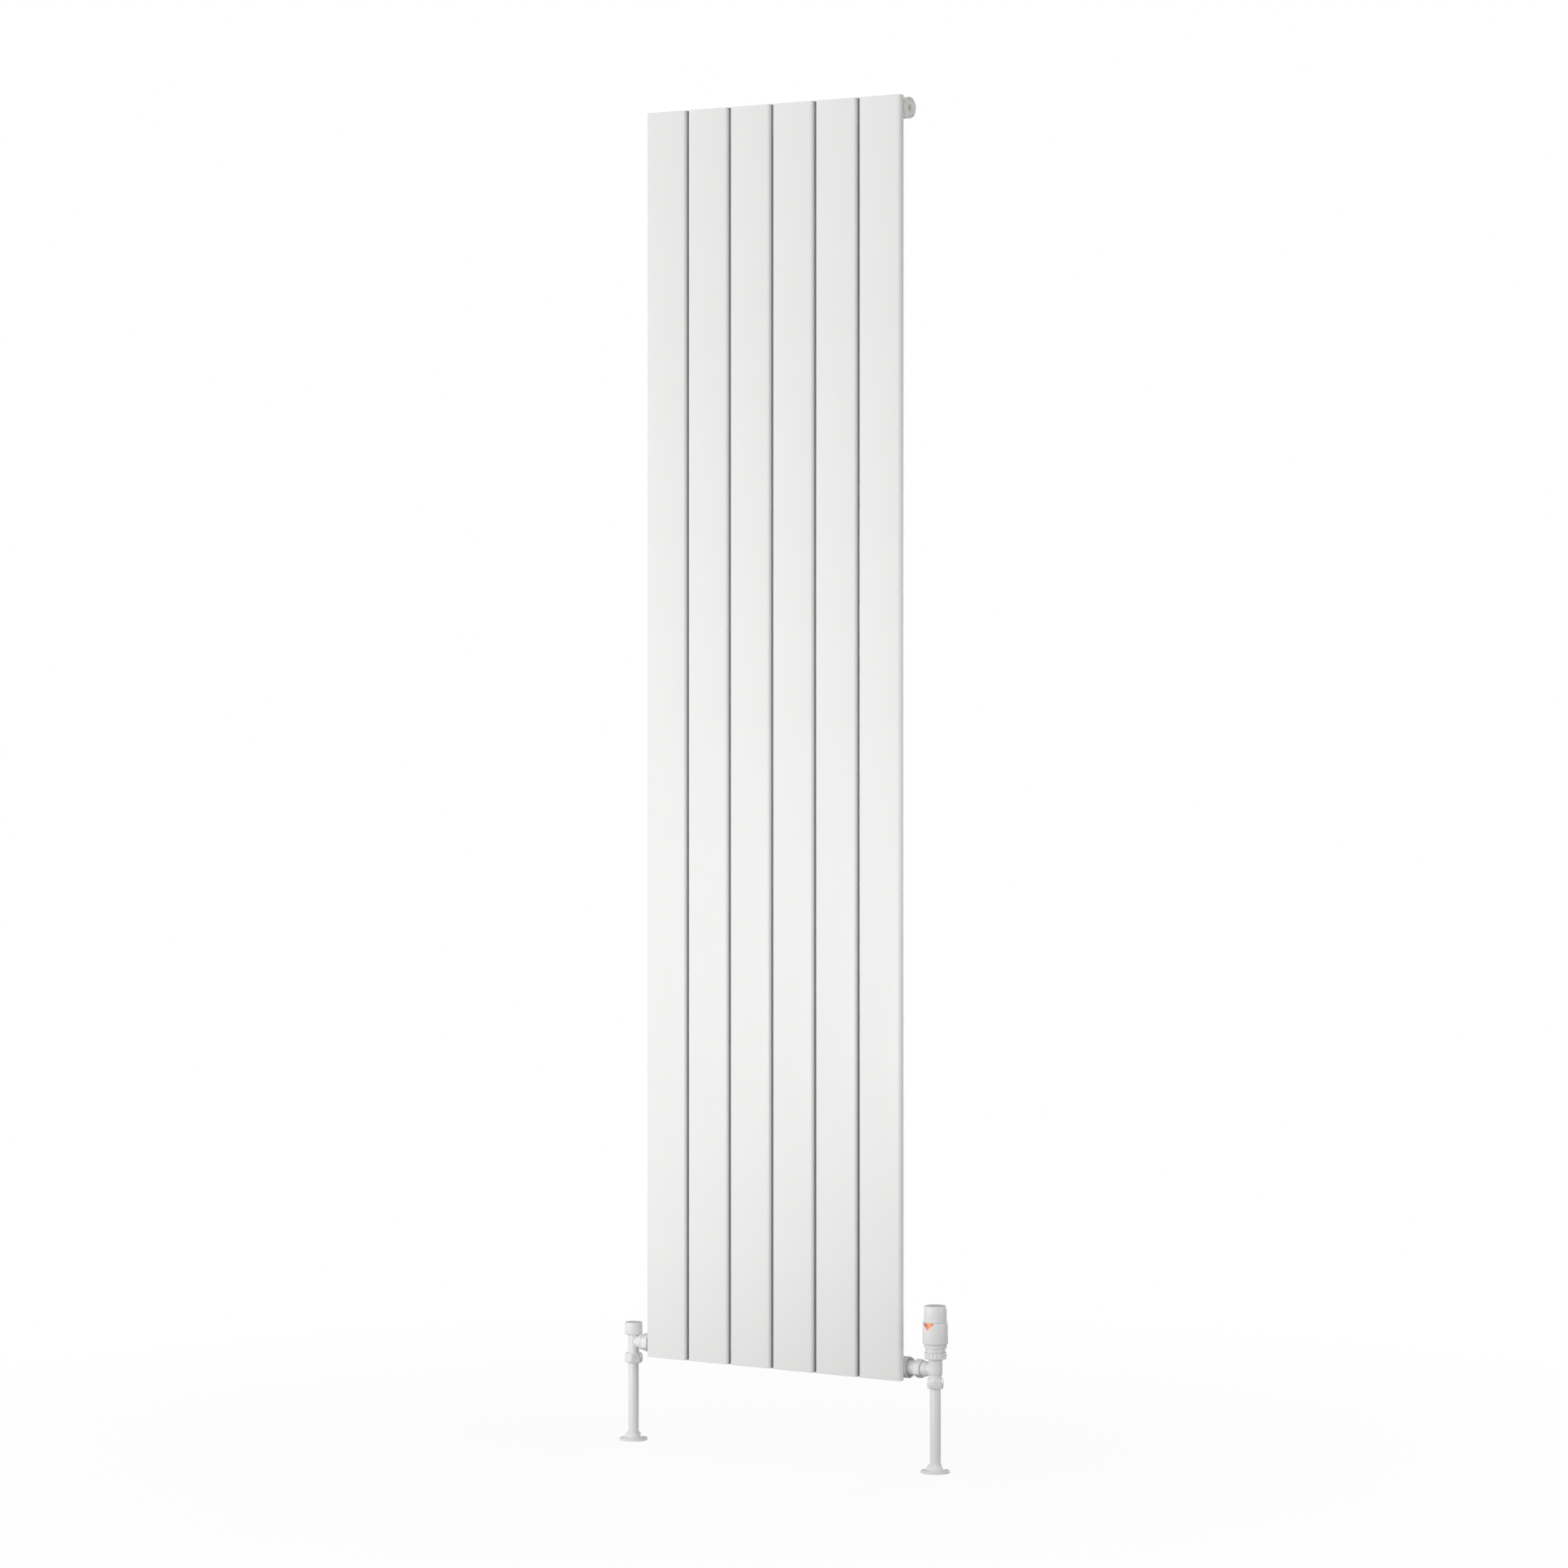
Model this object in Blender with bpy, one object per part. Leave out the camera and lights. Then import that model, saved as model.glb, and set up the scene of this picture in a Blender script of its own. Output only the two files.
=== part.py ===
"""Vertical flat-panel radiator with a thermostatic valve (right) and a lockshield valve (left).

Frame: +X to the right seen from the front, +Y towards the wall, +Z up, floor at z = 0.
Lengths in the constants below are millimetres; MM turns them into Blender's metres.
"""

import math

import bmesh
import bpy
from mathutils import Matrix

MM = 0.001
FIT = 0.3  # gap between pieces that touch

# Radiator
PANEL_COUNT = 6
PANEL_WIDTH = 70.0
PANEL_GAP = 4.0
PANEL_DEPTH = 11.0
PANEL_HEIGHT = 1800.0
PANEL_WALL = 1.2
PANEL_FRONT_RADIUS = 4.5
PANEL_BACK_RADIUS = 2.5
FLOOR_GAP = 127.0
FRONT_Y = -34.0
WALL_Y = 34.0
HEADER_RADIUS = 15.0
HEADER_WALL = 1.6
HEADER_INSET = 16.5  # header axis above the panels' lower ends, and below their upper ends
STUB_RADIUS = 5.5
STUB_BORE = 4.3
STUB_REACH = 2.3

HALF_WIDTH = (PANEL_COUNT * PANEL_WIDTH + (PANEL_COUNT - 1) * PANEL_GAP) / 2
HEADER_Y = FRONT_Y + PANEL_DEPTH + FIT + HEADER_RADIUS
LOW_HEADER_Z = FLOOR_GAP + HEADER_INSET
HIGH_HEADER_Z = FLOOR_GAP + PANEL_HEIGHT - HEADER_INSET

# Wall brackets, hooked by a lug on the back of the second and the fifth panel
LUG_PANELS = (2, 5)
LUG_HEIGHTS = (150.0, 1650.0)  # above the panels' lower ends
PIN_Y = 2.0
LUG_THICKNESS = 3.0
PIN_RADIUS = 3.0
SLEEVE_RADIUS = 4.1
CHEEK_HALF_GAP = 7.0
BRACKET_HALF_WIDTH = 9.5
BRACKET_PLATE = 3.0
BRACKET_HALF_HEIGHT = 30.0
WALL_SCREW_HEIGHT = 20.0
WALL_SCREW_RADIUS = 3.2

# Header end fittings, all measured from the header's end along its axis
BUSH_LENGTH = 16.0
COUNTERBORE_RADIUS = 12.0
COUNTERBORE_DEPTH = 3.2
THREAD_BORE = 9.2
THREAD_RADIUS = THREAD_BORE - FIT
PLUG_RADIUS = COUNTERBORE_RADIUS - FIT

# Valves and pipes
PIPE_X = HALF_WIDTH + 42.0
BRANCH_REACH = PIPE_X - HALF_WIDTH
PIPE_RADIUS = 7.5
PIPE_BORE = 6.5
UNION_ACROSS_FLATS = 23.0
UNION_START = 11.0
UNION_END = 21.7
BODY_END = 17.8  # where a valve body's branch begins, inside the union nut
SPIGOT_RADIUS = 8.9  # a valve body's lower end, inside the compression nut
NUT_THREAD_BORE = 9.2
NUT_FIRST_CORNER = -8.0  # degrees from +X
RING_NUT_RIBS = 16
KNOB_RADIUS = 17.65
CAP_RADIUS = 15.9
SLEEVE_TOP = 210.4

COARSE = 12  # sides of the smallest round pieces
ROUND = 16
FINE = 24

MATERIALS = {
    "white_paint": ((0.86, 0.86, 0.85, 1.0), 0.42, 0.0),
    "white_plastic": ((0.84, 0.84, 0.83, 1.0), 0.35, 0.0),
    "cream_plastic": ((0.74, 0.70, 0.64, 1.0), 0.5, 0.0),
    "copper": ((0.72, 0.24, 0.11, 1.0), 0.3, 1.0),
    "brass": ((0.72, 0.53, 0.24, 1.0), 0.32, 1.0),
    "steel": ((0.55, 0.55, 0.56, 1.0), 0.35, 1.0),
    "black_rubber": ((0.03, 0.03, 0.03, 1.0), 0.8, 0.0),
    "grey_nylon": ((0.35, 0.35, 0.36, 1.0), 0.6, 0.0),
}


# ---------------------------------------------------------------- modelling helpers


def clear_scene():
    for item in list(bpy.data.objects):
        bpy.data.objects.remove(item)


def material(name):
    found = bpy.data.materials.get(name)
    if found:
        return found
    colour, roughness, metallic = MATERIALS[name]
    made = bpy.data.materials.new(name)
    made.use_nodes = True
    shader = made.node_tree.nodes["Principled BSDF"]
    shader.inputs["Base Color"].default_value = colour
    shader.inputs["Roughness"].default_value = roughness
    shader.inputs["Metallic"].default_value = metallic
    made.diffuse_color = colour
    return made


def object_of(name, bm, turn=None):
    bmesh.ops.recalc_face_normals(bm, faces=bm.faces)
    if turn:
        bmesh.ops.transform(bm, matrix=turn, verts=bm.verts)
    mesh = bpy.data.meshes.new(name)
    bm.to_mesh(mesh)
    bm.free()
    made = bpy.data.objects.new(name, mesh)
    bpy.context.scene.collection.objects.link(made)
    return made


AXES = {
    "+Z": None,
    "+X": Matrix.Rotation(math.radians(90), 4, "Y"),
    "-X": Matrix.Rotation(math.radians(-90), 4, "Y"),
    "+Y": Matrix.Rotation(math.radians(-90), 4, "X"),
}


def turned(name, profile, segments=ROUND, axis="+Z"):
    """A closed profile of (radius, height) points spun round an axis."""
    bm = bmesh.new()
    points = [bm.verts.new((radius * MM, 0.0, height * MM)) for radius, height in profile]
    edges = []
    for first, second in zip(points, points[1:] + points[:1]):
        if first.co.x > 0 or second.co.x > 0:
            edges.append(bm.edges.new((first, second)))
    bmesh.ops.spin(
        bm,
        geom=points + edges,
        cent=(0, 0, 0),
        axis=(0, 0, 1),
        angle=math.tau,
        steps=segments,
        use_merge=True,
    )
    bmesh.ops.remove_doubles(bm, verts=bm.verts, dist=0.001 * MM)
    return object_of(name, bm, AXES[axis])


def rod(radius, low, high, segments=ROUND, axis="+Z"):
    return turned("rod", [(0, low), (radius, low), (radius, high), (0, high)], segments, axis)


def prism(name, outline, low, high, axis="+Z"):
    """An outline of (x, y) points extruded from low to high."""
    bm = bmesh.new()
    face = bm.faces.new([bm.verts.new((x * MM, y * MM, low * MM)) for x, y in outline])
    grown = bmesh.ops.extrude_face_region(bm, geom=[face])["geom"]
    raised = [item for item in grown if isinstance(item, bmesh.types.BMVert)]
    bmesh.ops.translate(bm, verts=raised, vec=(0, 0, (high - low) * MM))
    return object_of(name, bm, AXES[axis])


def arc(centre_x, centre_y, radius, start, end, steps):
    """Points on an arc, with its angles in degrees."""
    points = []
    for step in range(steps + 1):
        angle = math.radians(start + (end - start) * step / steps)
        points.append((centre_x + radius * math.cos(angle), centre_y + radius * math.sin(angle)))
    return points


def hexagon(across_flats, first_corner=0.0):
    return arc(0, 0, across_flats / math.sqrt(3), first_corner, first_corner + 300, 5)


def place(piece, x, y, z):
    piece.location = (x * MM, y * MM, z * MM)
    return piece


def combine(piece, other, operation):
    """Applies a Boolean of the other shape to the piece, and removes the other shape."""
    bpy.context.view_layer.update()
    boolean = piece.modifiers.new(operation.lower(), "BOOLEAN")
    boolean.operation = operation
    boolean.object = other
    graph = bpy.context.evaluated_depsgraph_get()
    result = bpy.data.meshes.new_from_object(piece.evaluated_get(graph))
    piece.modifiers.clear()
    piece.data = result
    bpy.data.objects.remove(other)
    return piece


def join(piece, other):
    return combine(piece, other, "UNION")


def cut(piece, other):
    return combine(piece, other, "DIFFERENCE")


def finish(piece, finish_name):
    piece.data.name = piece.name
    piece.data.materials.clear()
    piece.data.materials.append(material(finish_name))
    piece.data.shade_smooth()
    piece.data.set_sharp_from_angle(angle=math.radians(35))
    return piece


def copy_of(piece, name):
    made = bpy.data.objects.new(name, piece.data)
    bpy.context.scene.collection.objects.link(made)
    return made


# ---------------------------------------------------------------- radiator


def panel_x(number):
    return -HALF_WIDTH + PANEL_WIDTH / 2 + (number - 1) * (PANEL_WIDTH + PANEL_GAP)


def panel_outline(inset):
    """The panel's section, its front at y = inset, with rounder front corners than back ones."""
    side = PANEL_WIDTH / 2 - inset
    front = max(PANEL_FRONT_RADIUS - inset, 1.0)
    back = max(PANEL_BACK_RADIUS - inset, 1.0)
    low = inset
    high = PANEL_DEPTH - inset
    steps = 4 if inset == 0 else 1
    return (
        arc(-side + front, low + front, front, 180, 270, steps)
        + arc(side - front, low + front, front, 270, 360, steps)
        + arc(side - back, high - back, back, 0, 90, steps)
        + arc(-side + back, high - back, back, 90, 180, steps)
    )


def lug_outline():
    """Hook plate in the (y, z) plane, from the panel's back wall, open downwards over the pin."""
    root = PANEL_DEPTH - PANEL_WALL / 2
    pin = PIN_Y - FRONT_Y
    slot = SLEEVE_RADIUS + FIT
    toe = 16.0
    back = pin + 9.0
    return (
        [(root, -toe)]
        + [(pin - slot, -toe)]
        + arc(pin, 0, slot, 180, 0, 6)
        + [(pin + slot, -toe), (back, -toe), (back, 14.0), (back - 7.0, 22.0), (root, 26.0)]
    )


def lug(height):
    """The outline's (y, z) becomes world (y, z), extruded along X."""
    plate = prism("lug", lug_outline(), -LUG_THICKNESS / 2, LUG_THICKNESS / 2)
    plate.data.transform(Matrix(((0, 0, 1, 0), (1, 0, 0, 0), (0, 1, 0, 0), (0, 0, 0, 1))))
    return place(plate, 0, 0, height)


def panel(name, with_lugs):
    """A flat tube closed at both ends, with a water stub near each end of its back."""
    tube = prism(name, panel_outline(0.0), 0, PANEL_HEIGHT)
    stub_heights = (HEADER_INSET, PANEL_HEIGHT - HEADER_INSET)
    root = PANEL_DEPTH - PANEL_WALL / 2
    for height in stub_heights:
        stub = rod(STUB_RADIUS, root, PANEL_DEPTH + STUB_REACH, COARSE, "+Y")
        join(tube, place(stub, 0, 0, height))
    if with_lugs:
        for height in LUG_HEIGHTS:
            join(tube, lug(height))
    cut(tube, prism("cavity", panel_outline(PANEL_WALL), PANEL_WALL, PANEL_HEIGHT - PANEL_WALL))
    for height in stub_heights:
        bore = rod(STUB_BORE, PANEL_DEPTH / 2, PANEL_DEPTH + 2 * STUB_REACH, COARSE, "+Y")
        cut(tube, place(bore, 0, 0, height))
    return finish(tube, "white_paint")


def make_panels():
    plain = None
    hooked = None
    for number in range(1, PANEL_COUNT + 1):
        name = f"panel_{number}"
        if number in LUG_PANELS:
            made = copy_of(hooked, name) if hooked else panel(name, True)
            hooked = made
        else:
            made = copy_of(plain, name) if plain else panel(name, False)
            plain = made
        place(made, panel_x(number), FRONT_Y, FLOOR_GAP)


def header(name, height):
    bore = HEADER_RADIUS - HEADER_WALL
    profile = [
        (bore, -HALF_WIDTH),
        (HEADER_RADIUS, -HALF_WIDTH),
        (HEADER_RADIUS, HALF_WIDTH),
        (bore, HALF_WIDTH),
    ]
    tube = turned(name, profile, FINE, "+X")
    for number in range(1, PANEL_COUNT + 1):
        port = rod(STUB_RADIUS + FIT, -HEADER_RADIUS - 2, -HEADER_RADIUS / 2, COARSE, "+Y")
        cut(tube, place(port, panel_x(number), 0, 0))
    finish(tube, "white_paint")
    place(tube, 0, HEADER_Y, height)


def make_headers():
    header("header_bottom", LOW_HEADER_Z)
    header("header_top", HIGH_HEADER_Z)


ENDS = {"left": (-1, "-X"), "right": (1, "+X")}
LEVELS = {"bottom": LOW_HEADER_Z, "top": HIGH_HEADER_Z}


def at_header_end(piece, side, level):
    return place(piece, ENDS[side][0] * HALF_WIDTH, HEADER_Y, LEVELS[level])


def make_end_bushes():
    outer = HEADER_RADIUS - HEADER_WALL - FIT
    profile = [
        (THREAD_BORE, -BUSH_LENGTH),
        (outer, -BUSH_LENGTH),
        (outer, 0),
        (COUNTERBORE_RADIUS, 0),
        (COUNTERBORE_RADIUS, -COUNTERBORE_DEPTH),
        (THREAD_BORE, -COUNTERBORE_DEPTH),
    ]
    for level in LEVELS:
        for side, (_, axis) in ENDS.items():
            bush = turned(f"end_bush_{level}_{side}", profile, ROUND, axis)
            at_header_end(finish(bush, "steel"), side, level)


def plug_seal(name, side):
    inner = THREAD_RADIUS + FIT
    outer = PLUG_RADIUS - FIT
    low = -COUNTERBORE_DEPTH + FIT
    high = low + 1.0
    ring = turned(name, [(inner, low), (outer, low), (outer, high), (inner, high)], ROUND, ENDS[side][1])
    at_header_end(finish(ring, "black_rubber"), side, "top")


PLUG_LENGTH = 13.0
PLUG_FLANGE = 1.6
PLUG_RECESS_RADIUS = 6.8
PLUG_RECESS = 0.6
SOCKET_RADIUS = 4.6  # to the hexagon's corners
SOCKET_DEPTH = 6.0


def make_blanking_plug():
    profile = [
        (0, -PLUG_LENGTH),
        (THREAD_RADIUS, -PLUG_LENGTH),
        (THREAD_RADIUS, -PLUG_FLANGE),
        (PLUG_RADIUS, -PLUG_FLANGE),
        (PLUG_RADIUS, 0),
        (PLUG_RECESS_RADIUS, 0),
        (PLUG_RECESS_RADIUS, -PLUG_RECESS),
        (0, -PLUG_RECESS),
    ]
    plug = turned("blanking_plug", profile, ROUND, "+X")
    cut(plug, rod(SOCKET_RADIUS, -SOCKET_DEPTH, 1.0, 6, "+X"))
    at_header_end(finish(plug, "cream_plastic"), "right", "top")
    plug_seal("blanking_plug_seal", "right")


def make_air_vent():
    key_well = 4.2
    screw_bore = 3.2
    vent_bore = 1.2
    profile = [
        (vent_bore, -PLUG_LENGTH),
        (THREAD_RADIUS, -PLUG_LENGTH),
        (THREAD_RADIUS, -PLUG_FLANGE),
        (PLUG_RADIUS, -PLUG_FLANGE),
        (PLUG_RADIUS, 0),
        (PLUG_RECESS_RADIUS, 0),
        (PLUG_RECESS_RADIUS, -PLUG_RECESS),
        (key_well, -PLUG_RECESS),
        (key_well, -6.5),
        (screw_bore, -6.5),
        (screw_bore, -11.0),
        (vent_bore, -12.0),
    ]
    vent = turned("air_vent_plug", profile, ROUND, "-X")
    at_header_end(finish(vent, "cream_plastic"), "left", "top")
    plug_seal("air_vent_seal", "left")
    shank = [(0, -11.7), (0.9, -11.5), (2.9, -10.4), (2.9, -6.2), (0, -6.2)]
    screw = turned("bleed_screw", shank, COARSE, "-X")
    join(screw, rod(3.5, -6.4, -0.9, 4, "-X"))
    at_header_end(finish(screw, "brass"), "left", "top")


def bracket_outline():
    """Cheek of a wall bracket in the (y, z) plane, about the pin."""
    wall = WALL_Y - PIN_Y
    nose = 8.0
    tall = BRACKET_HALF_HEIGHT
    return (
        [(wall, -tall), (wall, tall), (wall - 5.0, tall), (6.0, nose)]
        + arc(0, 0, nose, 90, 270, 8)
        + [(6.0, -nose), (wall - 5.0, -tall)]
    )


def make_brackets():
    """Four wall brackets, each a channel with a cross pin that carries a nylon sleeve."""
    first = None
    sleeve_mesh = None
    wall = WALL_Y - PIN_Y
    for level, height in zip(("lower", "upper"), LUG_HEIGHTS):
        for side, number in zip(("left", "right"), LUG_PANELS):
            name = f"wall_bracket_{level}_{side}"
            if first:
                bracket = copy_of(first, name)
                sleeve = copy_of(sleeve_mesh, f"isolator_{level}_{side}")
            else:
                bracket = prism(name, bracket_outline(), -BRACKET_HALF_WIDTH, BRACKET_HALF_WIDTH)
                along_x = Matrix(((0, 0, 1, 0), (1, 0, 0, 0), (0, 1, 0, 0), (0, 0, 0, 1)))
                bracket.data.transform(along_x)
                gap = CHEEK_HALF_GAP
                back = wall - BRACKET_PLATE
                channel = [(-gap, -20.0), (gap, -20.0), (gap, back), (-gap, back)]
                cut(bracket, prism("channel", channel, -40.0, 40.0))
                reach = BRACKET_HALF_WIDTH - 1.0
                join(bracket, rod(PIN_RADIUS, -reach, reach, COARSE, "+X"))
                for screw_height in (-WALL_SCREW_HEIGHT, WALL_SCREW_HEIGHT):
                    hole = rod(WALL_SCREW_RADIUS, back - 2.0, wall + 2.0, COARSE, "+Y")
                    cut(bracket, place(hole, 0, 0, screw_height))
                first = finish(bracket, "white_paint")
                inner = PIN_RADIUS + FIT
                half = CHEEK_HALF_GAP - FIT
                ring = [(inner, -half), (SLEEVE_RADIUS, -half), (SLEEVE_RADIUS, half), (inner, half)]
                sleeve = turned(f"isolator_{level}_{side}", ring, COARSE, "+X")
                sleeve_mesh = finish(sleeve, "grey_nylon")
            for piece in (bracket, sleeve):
                place(piece, panel_x(number), PIN_Y, FLOOR_GAP + height)


# ---------------------------------------------------------------- unions, pipes and collars


def along_branch(piece, side):
    return at_header_end(piece, side, "bottom")


def on_pipe_axis(piece, side):
    return place(piece, ENDS[side][0] * PIPE_X, HEADER_Y, 0)


def make_union(prefix, side):
    """Tail piece, union nut, the wire ring that holds the nut, and the flat washer."""
    axis = ENDS[side][1]
    neck = 7.9
    groove = 7.0
    bore = 6.0
    tail_profile = [
        (bore, -13.5),
        (THREAD_RADIUS, -13.5),
        (THREAD_RADIUS, -2.9),
        (10.5, -2.9),
        (10.5, 10.4),
        (neck, 10.4),
        (neck, 13.8),
        (groove, 13.8),
        (groove, 15.8),
        (neck, 15.8),
        (neck, 16.2),
        (bore, 16.2),
    ]
    tail = turned(f"{prefix}_tail", tail_profile, ROUND, axis)
    along_branch(finish(tail, "white_paint"), side)

    nut = prism(f"{prefix}_union_nut", hexagon(UNION_ACROSS_FLATS, 0.0), UNION_START, UNION_END, axis)
    cut(nut, rod(neck + FIT, UNION_START - 1, UNION_END + 1, ROUND, axis))
    cut(nut, rod(9.9, UNION_START + 2.5, UNION_END + 1, ROUND, axis))
    along_branch(finish(nut, "white_paint"), side)

    wire = [(groove + FIT, 14.1), (9.5, 14.1), (9.5, 15.5), (groove + FIT, 15.5)]
    along_branch(finish(turned(f"{prefix}_union_ring", wire, ROUND, axis), "steel"), side)
    washer = [(6.3, 16.5), (8.8, 16.5), (8.8, 17.5), (6.3, 17.5)]
    along_branch(finish(turned(f"{prefix}_union_seal", washer, ROUND, axis), "black_rubber"), side)


def make_compression_joint(prefix, side, across_flats, low, high, spigot_end):
    """Nut and olive that hold the pipe in the valve's lower spigot."""
    nut = prism(f"{prefix}_compression_nut", hexagon(across_flats, NUT_FIRST_CORNER), low, high)
    wall = 3.2
    inner = PIPE_RADIUS + FIT
    cut(nut, rod(inner, low - 1, high + 1))
    cut(nut, rod(NUT_THREAD_BORE, low + wall, high + 1))
    on_pipe_axis(finish(nut, "white_paint"), side)

    bottom = low + wall + FIT
    top = spigot_end - FIT
    widest = NUT_THREAD_BORE - FIT
    taper = 0.7
    olive_profile = [
        (inner, bottom),
        (widest - taper, bottom),
        (widest, bottom + taper),
        (widest, top - taper),
        (widest - taper, top),
        (inner, top),
    ]
    on_pipe_axis(finish(turned(f"{prefix}_olive", olive_profile), "brass"), side)


def make_pipe(side, top):
    profile = [(PIPE_BORE, 0), (PIPE_RADIUS, 0), (PIPE_RADIUS, top), (PIPE_BORE, top)]
    on_pipe_axis(finish(turned(f"pipe_{side}", profile), "white_paint"), side)


def make_collar(side):
    """Floor rose: a thin flat rim round a small dome that the pipe comes through."""
    bore = PIPE_RADIUS + FIT
    profile = [
        (18.4, 0),
        (20.6, 0),
        (20.6, 2.2),
        (19.8, 3.0),
        (14.2, 4.3),
        (12.8, 5.6),
        (11.8, 8.2),
        (9.8, 10.3),
        (8.6, 11.5),
        (bore, 11.5),
        (bore, 8.0),
        (10.2, 7.0),
        (11.6, 3.2),
        (18.4, 2.0),
    ]
    on_pipe_axis(finish(turned(f"collar_{side}", profile, FINE), "white_plastic"), side)


# ---------------------------------------------------------------- thermostatic valve, right


def make_trv_body():
    outside = [
        (0, 124.7),
        (SPIGOT_RADIUS, 124.7),
        (SPIGOT_RADIUS, 136.0),
        (9.8, 138.4),
        (9.8, 157.0),
        (10.2, 158.8),
        (13.6, 160.9),
        (13.6, 163.5),
        (0, 163.5),
    ]
    body = on_pipe_axis(turned("trv_body", outside), "right")
    branch = [
        (0, BODY_END),
        (9.5, BODY_END),
        (9.5, 22.6),
        (10.4, 22.6),
        (10.9, 24.0),
        (10.7, 26.5),
        (9.6, 29.5),
        (8.8, 32.0),
        (8.8, BRANCH_REACH),
        (0, BRANCH_REACH),
    ]
    join(body, along_branch(turned("branch", branch, ROUND, "+X"), "right"))
    waterway = [
        (0, 121.0),
        (PIPE_RADIUS + FIT, 121.0),
        (PIPE_RADIUS + FIT, 134.3),
        (6.0, 134.3),
        (6.0, 137.4),
        (4.6, 137.4),
        (4.6, 139.0),
        (8.3, 139.0),
        (8.3, 164.5),
        (0, 164.5),
    ]
    cut(body, on_pipe_axis(turned("waterway", waterway), "right"))
    cut(body, along_branch(rod(4.4, BODY_END - 1, BRANCH_REACH, COARSE, "+X"), "right"))
    finish(body, "white_paint")


def make_trv_insert():
    """Gland, stem, disc, return spring and stem seal inside the valve body."""
    gland = [
        (2.3, 153.5),
        (8.0, 153.5),
        (8.0, 163.8),
        (9.5, 163.8),
        (9.5, 166.3),
        (7.2, 166.3),
        (7.2, 171.5),
        (5.5, 171.5),
        (5.5, 166.6),
        (5.2, 166.6),
        (5.2, 157.0),
        (2.3, 157.0),
    ]
    on_pipe_axis(finish(turned("trv_gland", gland), "brass"), "right")
    seal = [(2.3, 166.9), (5.2, 166.9), (5.2, 171.2), (2.3, 171.2)]
    on_pipe_axis(finish(turned("trv_stem_seal", seal, ROUND), "black_rubber"), "right")
    stem = [
        (0, 142.6),
        (2.0, 142.6),
        (2.0, 164.5),
        (4.6, 164.5),
        (4.6, 165.9),
        (2.0, 165.9),
        (2.0, 175.0),
        (0, 175.0),
    ]
    on_pipe_axis(finish(turned("trv_stem", stem, COARSE), "steel"), "right")
    disc = [(2.3, 142.3), (6.2, 142.3), (6.2, 145.4), (2.3, 145.4)]
    on_pipe_axis(finish(turned("trv_stem_disc", disc, ROUND), "black_rubber"), "right")


SPRING_LOW = 157.3
SPRING_HIGH = 164.2
SPRING_MEAN_RADIUS = 3.7
SPRING_WIRE = 0.45
SPRING_TURNS = 4
SPRING_STEPS = 8  # points in each turn


def make_stem_spring():
    """A round wire wound round the stem, with one point at each step of its helix."""
    wire = bpy.data.curves.new("trv_stem_spring", "CURVE")
    wire.dimensions = "3D"
    wire.bevel_depth = SPRING_WIRE * MM
    wire.bevel_resolution = 1
    wire.use_fill_caps = True
    line = wire.splines.new("POLY")
    count = SPRING_TURNS * SPRING_STEPS
    line.points.add(count)
    low = SPRING_LOW + SPRING_WIRE
    rise = SPRING_HIGH - SPRING_LOW - 2 * SPRING_WIRE
    for index in range(count + 1):
        angle = math.tau * index / SPRING_STEPS
        x = SPRING_MEAN_RADIUS * math.cos(angle)
        y = SPRING_MEAN_RADIUS * math.sin(angle)
        z = low + rise * index / count
        line.points[index].co = (x * MM, y * MM, z * MM, 1.0)
    spring = bpy.data.objects.new("trv_stem_spring", wire)
    bpy.context.scene.collection.objects.link(spring)
    wire.materials.append(material("steel"))
    on_pipe_axis(spring, "right")


def ring_nut_outline(outer, valley):
    """Ribs round a ring nut: each has a flat crest and a flat valley."""
    points = []
    pitch = 360.0 / RING_NUT_RIBS
    for rib in range(RING_NUT_RIBS):
        start = rib * pitch
        points += arc(0, 0, outer, start, start + 0.5 * pitch, 1)
        points += arc(0, 0, valley, start + 0.6 * pitch, start + 0.9 * pitch, 1)
    return points


def make_trv_ring_nut():
    low = 159.1
    lip = 166.1
    high = 168.2
    nut = prism("trv_ring_nut", ring_nut_outline(15.75, 14.9), low, high)
    cut(nut, rod(12.4, low - 1, high + 1))
    cut(nut, rod(13.9, low - 1, lip))
    on_pipe_axis(finish(nut, "white_plastic"), "right")


def make_trv_head():
    base = [
        (10.2, 163.8),
        (13.6, 163.8),
        (13.6, 165.8),
        (12.1, 165.8),
        (12.1, 168.5),
        (14.2, 168.5),
        (14.2, 174.1),
        (13.6, 174.7),
        (13.6, 190.0),
        (10.2, 190.0),
    ]
    on_pipe_axis(finish(turned("trv_head_base", base), "white_plastic"), "right")
    sensor = [
        (0, 175.3),
        (1.8, 175.3),
        (1.8, 179.5),
        (8.5, 180.5),
        (8.5, 215.5),
        (7.5, 216.5),
        (0, 216.5),
    ]
    on_pipe_axis(finish(turned("trv_sensor", sensor, COARSE), "brass"), "right")
    on_pipe_axis(make_knob_sleeve(), "right")
    cap = (
        [(12.9, 202.1), (14.5, 202.1), (14.5, SLEEVE_TOP + FIT), (CAP_RADIUS, SLEEVE_TOP + FIT)]
        + arc(CAP_RADIUS - 3.0, 230.3, 3.0, 0, 90, 4)
        + [(0, 233.3), (0, 231.3), (12.3, 231.3), (12.9, 230.7)]
    )
    on_pipe_axis(finish(turned("trv_knob_cap", cap, FINE), "white_plastic"), "right")
    on_pipe_axis(make_pointer("trv_pointer", 0.0, KNOB_RADIUS - 0.6, KNOB_RADIUS + 0.1), "right")


POINTER_HALF_WIDTH = 9.5
POINTER_TOP = 209.7
POINTER_TIP = 200.9
POINTER_TURN = -6.0  # degrees from the front


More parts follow.
